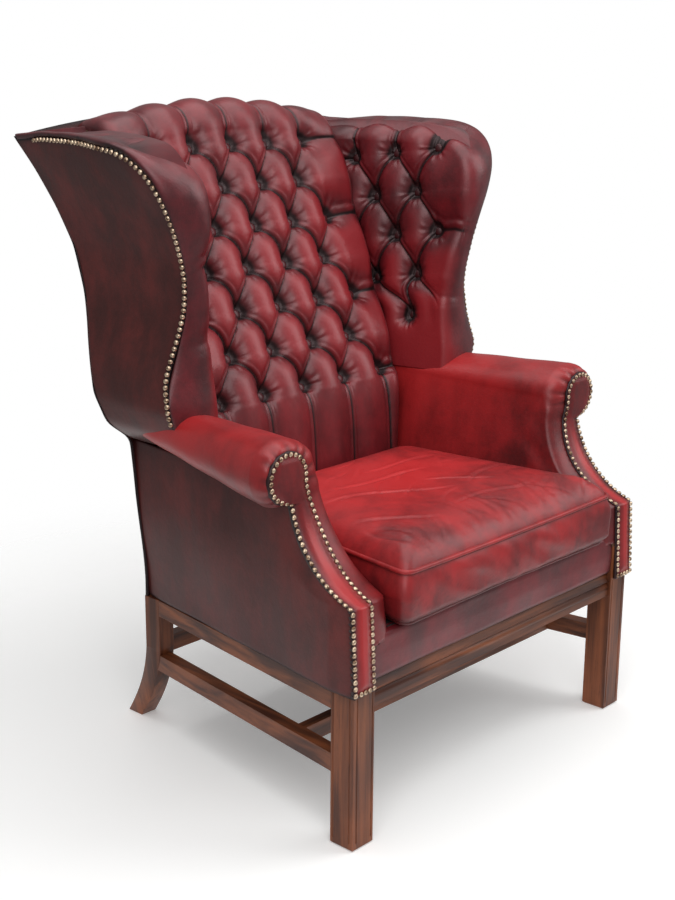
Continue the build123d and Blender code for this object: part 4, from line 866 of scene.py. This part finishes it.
# Shares, near those of the part's own wing: the flare in front, the height, the flare behind.
FLARE = np.array(
    [
        *((0, 0, -0.02), (0.41, 0.06, 0.34), (0.602, 0.17, 0.504), (0.56, 0.251, 0.475)),
        *((0.441, 0.328, 0.424), (0.314, 0.408, 0.356), (0.271, 0.492, 0.305)),
        *((0.348, 0.634, 0.293), (0.576, 0.768, 0.4), (0.814, 0.882, 0.55)),
        *((1, 1, 0.755), (1.02, 1.02, 0.77)),
    ]
)
flare_at = np.linspace(0, 1.02, 120)
flares = [soften(np.interp(flare_at, FLARE[:, 1], FLARE[:, k]), 10) for k in (0, 2)]


def flare_x(y, z):
    """Half the width over the wing's outer surface."""
    front, rear = (np.interp((z - WING_FOOT) / WING_TALL, flare_at, flare) for flare in flares)
    reach = (y - FLARE_FRONT) / (back_y(z) - FLARE_FRONT)
    return NARROW + WIDER * (front * (1 - reach) + rear * reach)


def puckers(distance, place, pitch=10.0):
    """Shallow dents between nails, fading away from their line."""
    return -0.9 * (0.5 - 0.5 * np.cos(2 * np.pi * place / pitch)) * fading(distance, 9)


# %% Outer wing panels
LINES, PANEL_COLUMNS, PANEL_THICK = 220, 56, 5.5
front_line = along(np.vstack(([(35, WING_FOOT)], nailed[8:, 1:])), LINES)
rear_z = np.linspace(WING_FOOT, front_line[-1, 1], LINES)
rear_line = np.stack((back_y(rear_z, 2), rear_z), -1)
across = np.linspace(0, 1, PANEL_COLUMNS) ** 1.4
sheet = front_line[:, None] + (rear_line - front_line)[:, None] * across[None, :, None]
y, z = np.moveaxis(sheet, -1, 0)
reach = np.linalg.norm(sheet - front_line[:, None], axis=2)
side_x = flare_x(y, z) + puckers(reach, travelled(front_line)[:, None])
side_x += 1.2 * wave(z, 43) * wave(y, 57) * steps(reach, 10, 60)
# Painted shade along the nail line under the roll, and towards the rear edge where the outside back meets it.
dark = np.clip(0.75 * fading(reach, 7) + 0.3 * fading(reach, 30), 0, 1)
rear_gap = np.linalg.norm(sheet - rear_line[:, None], axis=2)
dark = np.clip(dark + 0.35 * fading(rear_gap, 14), 0, 1)
outer = np.concatenate((side_x[..., None], sheet), -1)
panel(pair, "wing_outer_panel", outer, (-PANEL_THICK, 0, 0), "outer_leather", dark, 0.25)

# %% Side panels
SIDE_FOOT, SIDE_TOP, SIDE_X = 263, 556, 389
TAPER_FROM, TAPER = -326, 73 / 484
z = np.linspace(SIDE_FOOT, SIDE_TOP, 80)[:, None] + np.zeros((1, 100))
y = facing_y(z) + 2.5
y = y + (back_y(z, 2) - y) * np.linspace(0, 1, 100)[None, :] ** 1.2
side_x = np.where(y < TAPER_FROM, SIDE_X, SIDE_X - (y - TAPER_FROM) * TAPER)
side_x = side_x + 14 * steps(z, 270, 470) * steps(y, -300, 150)
from_nails, from_foot = y - y[:, :1], z - SIDE_FOOT
bulge = 2.2 * np.sin(np.pi * np.clip(from_foot / (SIDE_TOP - SIDE_FOOT), 0, 1)) * steps(from_nails, 0, 80)
ripple = 0.8 * wave(y, 31, z / 70) * wave(z, 37) * steps(from_nails, 5, 60)
side_x = side_x + bulge + ripple + puckers(from_nails, z) - 2.5 * fading(from_foot, 3)
# Painted shade along the nails, at the foot, high up under the arm, and towards the rear edge.
dark = 0.7 * fading(from_nails, 8) + 0.75 * fading(from_foot, 7) + 0.3 * fading(550 - z, 40)
dark = np.clip(dark + 0.4 * fading(y[:, -1:] - y, 16), 0, 1)
outer, rub = np.stack((side_x, y, z), -1), 0.2 + 0.3 * fading(from_nails, 60)
panel(pair, "side_panel", outer, (-PANEL_THICK, 0, 0), "outer_leather", dark, rub)

# %% Outside back
LOW_HALF = 316
up = np.linspace(0, 1, 130)[:, None]
edge_z = SIDE_FOOT + (1072 - SIDE_FOOT) * up
edge_x = NARROW + WIDER * np.interp((edge_z - WING_FOOT) / WING_TALL, FLARE[:, 1], FLARE[:, 2])
edge_x = soften(np.where(edge_z < WING_FOOT, LOW_HALF + 14 * steps(edge_z, 270, 470), edge_x), 3)
wide = np.linspace(-1, 1, 110)[None, :] * edge_x
tall = edge_z + (36 - wide**2 / 5000) * steps(up, 0.5, 1)
edge_gap = np.minimum(edge_x - np.abs(wide), np.minimum(tall - SIDE_FOOT, (1 - up) * 815))
rear_y = back_y(tall) + 1.2 * wave(wide, 61) * wave(tall, 83) - 2.0 * fading(edge_gap, 3)
# Painted shade round its edges.
dark = np.clip(0.65 * fading(edge_gap, 8) + 0.25 * fading(edge_gap, 40), 0, 1)
outer = np.stack((wide, rear_y, tall), -1)
panel(piece, "outside_back", outer, (0, -5.2, 0), "outer_leather", dark, 0.2)
print("outside back:", outer.shape[:2])

# %% [markdown]
# ## The arms
#
# One cover runs up the inside of the arm, over the roll and tucks in beneath it. The roll gets
# thinner to the rear. At the front the leather turns in over the arm's end, in small gathers
# round the scroll, and a nailed facing covers its raw edge.


# %% Section of an arm
ARM_LENGTH, ARM_FOOT = 530, 336
HIDDEN, INNER = 26, 50  # points of a section out of sight, and on the arm's inner side


def arm_section(share):
    """Points across the arm at a share of its length: inside, over the roll, tucked under."""

    def mix(front, rear):
        return front + (rear - front) * share

    middle = np.array((mix(412, 340), mix(586, 605)))
    radius = mix(66, 29)
    low, high = np.array((mix(294, 232), ARM_FOOT)), np.array((mix(332, 275), middle[1]))
    up = np.linspace(0, 1, 44)[:, None]
    inside = low + (high - low) * up - np.hstack((4 * np.sin(np.pi * up), 0 * up))
    over = middle + spoke(np.radians(np.linspace(180, 90, 26)[1:])) * (middle[0] - high[0], radius)
    outside = middle + radius * spoke(np.radians(np.linspace(90, -62, 42)[1:]))
    lining = 383 - TAPER * max(ARM_LENGTH * share - 48, 0)
    tuck = np.array((lining, mix(540, 566)))
    under = outside[-1] + (tuck - outside[-1]) * np.linspace(0, 1, 12)[1:, None]
    wall = np.linspace(tuck[1] - 6, ARM_FOOT, HIDDEN - 1)
    hidden = np.vstack((np.column_stack((0 * wall + lining - 1, wall)), ((lining + low[0]) / 2, ARM_FOOT)))
    return np.vstack((inside, over, outside, under, hidden))


SECTIONS = np.array([arm_section(s) for s in np.linspace(0, 1, 60)])
ring = SECTIONS.shape[1]
visible = ring - HIDDEN
print("points round the arm:", ring, "in sight:", visible)


def arm_at(depth):
    """The section at a depth for each point of the ring."""
    share = np.clip((depth - FRONT) / ARM_LENGTH, 0, 1) * (len(SECTIONS) - 1)
    low = np.clip(np.floor(share).astype(int), 0, len(SECTIONS) - 2)
    part = (share - low)[..., None]
    index = np.arange(ring)
    return SECTIONS[low, index] * (1 - part) + SECTIONS[low + 1, index] * part


def at_depth(flat, depth):
    """A ring of points across the arm, each at its own depth."""
    return np.column_stack((flat[:, 0], depth, flat[:, 1]))


# %% Turn the leather in over the arm's end
SCROLL = np.array((394.0, 590.0))
SCROLL_EDGE = 40  # radius at which the turned in leather ends, round the scroll
FOLD, LENGTH = 16, 150  # sections in the fold and along the arm
BEHIND_SWEEP, ARM_REAR = -230.0, 160
section = arm_at(np.full(ring, BEHIND_SWEEP))
tall = section[:, 1]
ring_edge = SCROLL + SCROLL_EDGE * unit(section - SCROLL)
low_edge = np.column_stack((np.interp(tall, [300, 408, 490, 575], [343, 343, 336, 353]), tall))
lift = steps(tall, 560, 600)[:, None]
inner_side = np.arange(ring) < INNER
target = np.where(inner_side[:, None], low_edge * (1 - lift) + ring_edge * lift, ring_edge)
target[visible:] = section[visible:]
blend = slice(visible - 3, visible)
target[blend] += (section - target)[blend] * np.array((0.25, 0.5, 0.75))[:, None]
turned_in = np.where(inner_side, 16 + 14 * lift[:, 0], 30)
turned_in[visible:] = 2
first_y = facing_y(target[:, 1]) + 2.5
skin = [at_depth(target, first_y + 70), at_depth(target, first_y + 8)]
for part in np.pi / 2 * np.arange(FOLD) / FOLD:
    depth = first_y + turned_in * (1 - np.cos(part))
    body = arm_at(depth + turned_in * np.cos(part))
    skin.append(at_depth(target + (body - target) * np.sin(part) ** 0.85, depth))
for part in np.linspace(0, 1, LENGTH) ** 1.1:
    depth = first_y + turned_in + (ARM_REAR - first_y - turned_in) * part
    skin.append(at_depth(arm_at(depth), depth))
skin = np.array(skin)
print("arm:", skin.shape[:2])

# %% Gathers and creases of the arm
y, z = skin[..., 1], skin[..., 2]
number = np.arange(len(skin))[:, None]
around = travelled(section)[None, :]
on_roll = steps(around, 190, 250) * (1 - steps(around, 560, 600))
gather = np.cos(around / 4.6 + 0.9 * wave(around, 13)) * bell(number - 7, 7) * on_roll
front_folds = wave(z, 9, 2 * wave(y, 23)) * steps(-np.abs(number - 32), -20, -4)
creep = wave(around, 29, y / 47) * wave(y, 31)
creep = creep + 0.9 * front_folds * (1 - steps(around, 120, 260)) * steps(around, 20, 80)
normals = facing_out(skin, (60, 90), (1, 0, 0))
in_sight = (np.arange(ring) < visible)[None, :]
skin += normals * ((1.1 * gather + 0.9 * creep * steps(number, 10, 30)) * in_sight)[..., None]
# Painted shade at the turned-in front edge, in the gathers, in the tuck under the roll, and low down at the
# rear.
dark = 0.85 * fading(number, 3.2) + 0.35 * np.clip(-gather, 0, 1)
dark += 0.5 * steps(around, 560, 600) + 0.45 * steps(y, 60, 150) * steps(-z, -600, -420)
low_inside = 1 - steps(around, 170, 300)
rub = 0.62 - 0.3 * low_inside - 0.35 * steps(around, 430, 540) + 0.3 * steps(number, 40, 130)
faces = quads(len(skin), ring, True)
faces += [list(range(ring)), [(len(skin) - 1) * ring + k for k in range(ring)][::-1]]
marks = {"crease": np.clip(dark, 0, 1), "worn": rub}
pair("arm_pad", skin, faces, "arm_leather", marks, 0.85)

# %% [markdown]
# ## Facings and nails
#
# The facing is a strip of leather over thin wadding, so it stands a few millimetres proud in
# the middle. Brass nails, each a dome about nine millimetres across, are set nearly edge to
# edge along both sides of it, round the scroll and along the wing.

# %% Facings
FACING_FOOT, FACING_TOP, DISC = 266, 633, 43
FACING_X = (341, 388.6)
face_z = np.concatenate((np.linspace(FACING_FOOT, 545, 120), np.linspace(547, FACING_TOP, 70)))[:, None]
disc = np.sqrt(np.clip(DISC**2 - (face_z - SCROLL[1]) ** 2, 0, None))
waist, _ = arc((FACING_X[0], 408), (334, 490), (352, 575), 40)
left_x = np.where(face_z < 408, FACING_X[0], np.interp(face_z, waist[:, 1], waist[:, 0]))
left_x = np.where(face_z > 582, SCROLL[0] - disc, left_x)
right_x = np.where(face_z < 548, FACING_X[1], SCROLL[0] + disc)
part = np.linspace(0, 1, 26)[None, :]
face_x = left_x + (right_x - left_x) * part
side_gap = np.minimum(face_x - left_x, right_x - face_x)
gap = np.minimum(side_gap, np.minimum(face_z - FACING_FOOT, FACING_TOP - face_z))
proud = 0.3 + 1.4 * steps(gap, 0, 3) + 3.0 * steps(gap, 8, 20)
outer = np.stack((face_x, facing_y(face_z) - proud, face_z + 0 * face_x), -1)
# Painted shade along the facing's edges, beside the nails.
dark = 0.8 * bell(gap, 7.5) + 0.04
rub = 0.35 + 0.6 * bell(part - 0.55, 0.2) * steps(-np.abs(face_z - 400), -170, -60)
panel(pair, "arm_facing", outer, (0, 7.5, 0), "arm_leather", dark, rub)

# %% Nails
NAIL_INSET, NAIL_RING = 4.5, 38
NAIL_RADIUS, NAIL_HEIGHT = 4.6, 3.2
side_z, outer_z = np.linspace(272, 572, 60), np.linspace(549, 272, 40)
side_nails = np.column_stack((np.interp(side_z, face_z[:, 0], left_x[:, 0]) + NAIL_INSET, side_z))
scroll_nails = SCROLL + NAIL_RING * spoke(np.radians(180 - np.linspace(0, 262, 60)))
outer_nails = np.column_stack((0 * outer_z + 387.8, outer_z))
x, z = np.vstack((side_nails, scroll_nails, outer_nails)).T
nail_line = along(np.column_stack((x, facing_y(z) - 1.6, z)), pitch=10.9)
trim = np.vstack((nail_line, [(x, -382, 271.5) for x in (356, 366, 376)]))
slope = (facing_y(trim[:, 2] + 2) - facing_y(trim[:, 2] - 2)) / 4
trim_normal = np.column_stack((0 * slope, 0 * slope - 1, slope))
wing_path = along(nailed[12:][nailed[12:, 1] < 318], pitch=10.7)
tangent = unit(np.gradient(wing_path, axis=0))
sideways = np.column_stack((0 * tangent[:, 0], -tangent[:, 2], tangent[:, 1]))
sideways *= np.where(sideways @ (0, -0.6, 0.8) < 0, -1, 1)[:, None]
wing_nails = wing_path - sideways * 3.2
wing_nails[:, 0] = np.maximum(wing_nails[:, 0], flare_x(*wing_nails[:, 1:].T)) + 0.7
centres = np.vstack((trim, wing_nails))
normals = np.vstack((trim_normal, sideways * 0.5 + (0.85, 0, 0)))
points, faces = studs(centres, normals, NAIL_RADIUS, NAIL_HEIGHT, 3, 10)
pair("brass_nails", points, faces, "nail_brass", replaces=False)
print("nails a side:", len(centres))


# %% [markdown]
# ## Seat cushion
#
# The cushion is a boxed one: a top and a bottom joined by a strip, with piping in both seams.
# It is filled softly, so its top domes, its front strip sags outwards, and years of sitting have
# left long creases across the leather.


# %% Outline of the cushion, in millimetres
CUSHION_FRONT, CUSHION_REAR = (288, -395), (238, 54)  # half the width, and the depth
FRONT_CORNER, REAR_CORNER, OUTLINE_POINTS = 16, 34, 260
knots = []
# A quarter turn at each corner, from the right front one round to the left front one.
for turn, sign in ((-90, 1), (0, 1), (90, -1), (180, -1)):
    rear = turn in (0, 90)
    corner = REAR_CORNER if rear else FRONT_CORNER
    half_x, depth = CUSHION_REAR if rear else CUSHION_FRONT
    middle = np.array((sign * (half_x - corner), depth - np.sign(depth) * corner))
    knots += [*(middle + corner * spoke(np.radians(np.linspace(turn, turn + 90, 12))))]
plan = along([*knots, knots[0]], OUTLINE_POINTS + 1)[:-1]
print("outline of the cushion:", round(float(travelled(plan)[-1])), "mm round")

# %% Creases: where each starts and ends, and how deep it is
LONG_CREASES = (
    *(((-210, -150), (40, -230), 2.0), ((-150, -90), (90, -150), 1.6), ((-60, -300), (150, -330), 1.3)),
    *(((-240, -240), (-120, -330), 2.0), ((-30, -60), (180, -110), 1.4), ((60, -250), (230, -200), 1.8)),
    *(((-200, -40), (-40, -10), 1.3), ((-130, -200), (-20, -120), 1.1), ((10, -180), (120, -260), 1.2)),
)
chance = np.random.default_rng(7)


def leaning(start_at, lean, length, deep):
    """A crease from its start, at an angle from straight back."""
    return start_at, (start_at[0] + length * np.sin(lean), start_at[1] + length * np.cos(lean)), deep


short_creases = []
for across in np.linspace(-262, 262, 30):
    lean, length = chance.normal(0.25, 0.45), chance.uniform(45, 130)
    start_at = (across + chance.normal(0, 7), -386)
    short_creases.append(leaning(start_at, lean, length, chance.uniform(0.7, 2.0)))
for _ in range(26):
    start_at = (chance.uniform(-230, 200), chance.uniform(-330, -20))
    lean, length = chance.normal(1.25, 0.4), chance.uniform(40, 120)
    short_creases.append(leaning(start_at, lean, length, chance.uniform(0.3, 0.9)))


def creased(x, y):
    """Long soft folds across the seat, and short ones drawn in from its front seam."""
    sink = np.zeros_like(x)
    for (ax, ay), (bx, by), deep in (*LONG_CREASES, *short_creases):
        length = np.hypot(bx - ax, by - ay)
        ux, uy = (bx - ax) / length, (by - ay) / length
        run = (x - ax) * ux + (y - ay) * uy
        off = (y - ay) * ux - (x - ax) * uy + 0.06 * length * wave(run, 0.22 * length, ax)
        ends = steps(run, -10, 0.25 * length) * (1 - steps(run, 0.7 * length, length + 10))
        sink += ends * deep * (bell(off, 3) - 0.6 * bell(off - 8, 6))
    return sink


print("creases:", len(LONG_CREASES) + len(short_creases))


# %% Sides of the cushion
BOTTOM, SEAM, BOX_ROWS = 351.3, 443.3, 26
rings, shadows, wears = [], [], []
middle = np.array((0, -165.0))
outward = unit(plan - middle)
x = plan[:, 0]
frontness = steps(-plan[:, 1], 330, 392)
dip = 3 * frontness * np.sin(np.pi * (x / CUSHION_FRONT[0] + 1) / 2)
for height in np.linspace(0, 1, BOX_ROWS):
    swell = np.sin(np.pi * height)
    draw = 5.5 * (2 * height - 1) ** 4 + 16 * (1 - steps(height, 0, 0.22))
    sag = frontness * 5 * swell**0.8
    ruffle = 1.6 * wave(x, 23, 3 * height) * swell + 1.1 * wave(x, 9, 6 * height)
    fold = wave(x, 13, 9 * height + 1.6 * wave(x, 37)) * wave(x, 61, 0.4)
    ruffle = (ruffle + 2.1 * np.sign(fold) * np.abs(fold) ** 0.6) * swell**0.7
    line = plan + outward * (sag + ruffle - draw)[:, None]
    rings.append(np.column_stack((line, BOTTOM + (SEAM - BOTTOM) * height - dip * height)))
    edge_shadow = 0.8 * fading(1 - height, 0.05) + 0.85 * fading(height, 0.12) + 0.2 * (1 - height)
    shadows.append(edge_shadow + 0.22 * bell(fold, 0.12) * swell)
    wears.append(0 * x + 0.15 + 0.35 * height)
print("rows up the sides:", len(rings))

# %% Top of the cushion
for shrink in (*np.linspace(1, 0.86, 22)[1:], *np.linspace(0.86, 0.012, 78)[1:]):
    inset = (1 - shrink) * 230
    dome = 46 * (1 - fading(inset, 27)) - 5 * fading(inset, 12)
    line = middle + (plan - middle) * shrink - outward * 3 * fading(inset, 6)
    x, y = line.T
    hollow = 5 * bell(x + 10, 150) * bell(y + 130, 130)
    sink = creased(x, y) * steps(inset, 0, 9)
    ripple = 1.2 * wave(x, 17, y / 41) * bell(inset - 14, 12)
    rings.append(np.column_stack((line, SEAM + 2 + dome - hollow - sink + ripple - dip * shrink)))
    shadows.append(0.6 * fading(inset, 2.5) + 0.2 * np.clip(sink, 0, 3))
    wears.append(0.38 + 0.62 * bell(x + 30, 190) * bell(y + 110, 130))
skin = np.array(rings)
count = len(plan)
faces = quads(len(skin), count, True)
faces += [list(range(count))[::-1], [(len(skin) - 1) * count + k for k in range(count)]]
marks = {"crease": np.clip(shadows, 0, 1), "worn": wears}
cushion = piece("seat_cushion", skin, faces, "seat_leather", marks, "cushion")
print("cushion:", skin.shape[:2], "top at", round(float(skin[..., 2].max()), 1), "mm")


# %% Piping
CORD = 3.8  # radius


def piping(rim, radius, sides=10):
    """A closed cord along a ring of points."""
    run = unit(np.roll(rim, -1, axis=0) - np.roll(rim, 1, axis=0))
    side = unit(np.cross(run, (0, 0, 1)))
    turns = spoke(np.linspace(0, 2 * np.pi, sides, endpoint=False))
    points = rim[:, None] + radius * (turns @ np.stack((side, np.cross(side, run)), 1))
    faces = np.array(quads(len(rim) + 1, sides, True)) % (len(rim) * sides)
    return points.reshape(-1, 3), faces


upper = skin[BOX_ROWS - 1] + np.column_stack((outward * 1.5, np.full(count, 2.0)))
lower = skin[1] + np.column_stack((outward * 2.5, np.full(count, 3.0)))
top_points, top_faces = piping(upper, CORD)
low_points, low_faces = piping(lower, CORD)
points = np.vstack((top_points, low_points))
faces = np.vstack((top_faces, low_faces + len(top_points))).tolist()
half_way = len(top_points)
# The lower cord gets more painted shade than the upper one, and is less rubbed.
marks = {"crease": np.repeat((0.1, 0.5), half_way), "worn": np.repeat((0.5, 0.1), half_way)}
piece("cushion_piping", points, faces, "seat_leather", marks, "cushion")
print("piping:", len(faces), "faces")

# %% [markdown]
# ## Front border
#
# Below the cushion a narrow border of leather covers the front rail and turns over its top. It
# is out of reach of hands, and so as dark as the back and the wings.

# %% Front border
BORDER_FOOT, BORDER_HALF = 276, 337
over_rail = ((-371.5, 312), (-370, 344), (-366, 350.5), (-352, 351.2))
y, z = along([(-359, BORDER_FOOT), (-368.5, 276.5), (-371, 282), *over_rail], 26).T
x = np.linspace(-BORDER_HALF, BORDER_HALF, 160)[:, None]
border = np.stack(np.broadcast_arrays(x, y - 1.1 * wave(x, 41) * wave(z, 23), z), -1)
# Painted shade at its foot and at its ends.
dark = 0.8 * fading(z - BORDER_FOOT, 5) + 0.5 * fading(BORDER_HALF + 0.5 - np.abs(x), 8)
back_leather = {"cover": covers["tufted_leather"]}
panel(piece, "front_border", border, (0, 6.0, -1.0), "arm_leather", np.clip(dark, 0, 1), 0.35, **back_leather)
print("front border:", border.shape[:2])
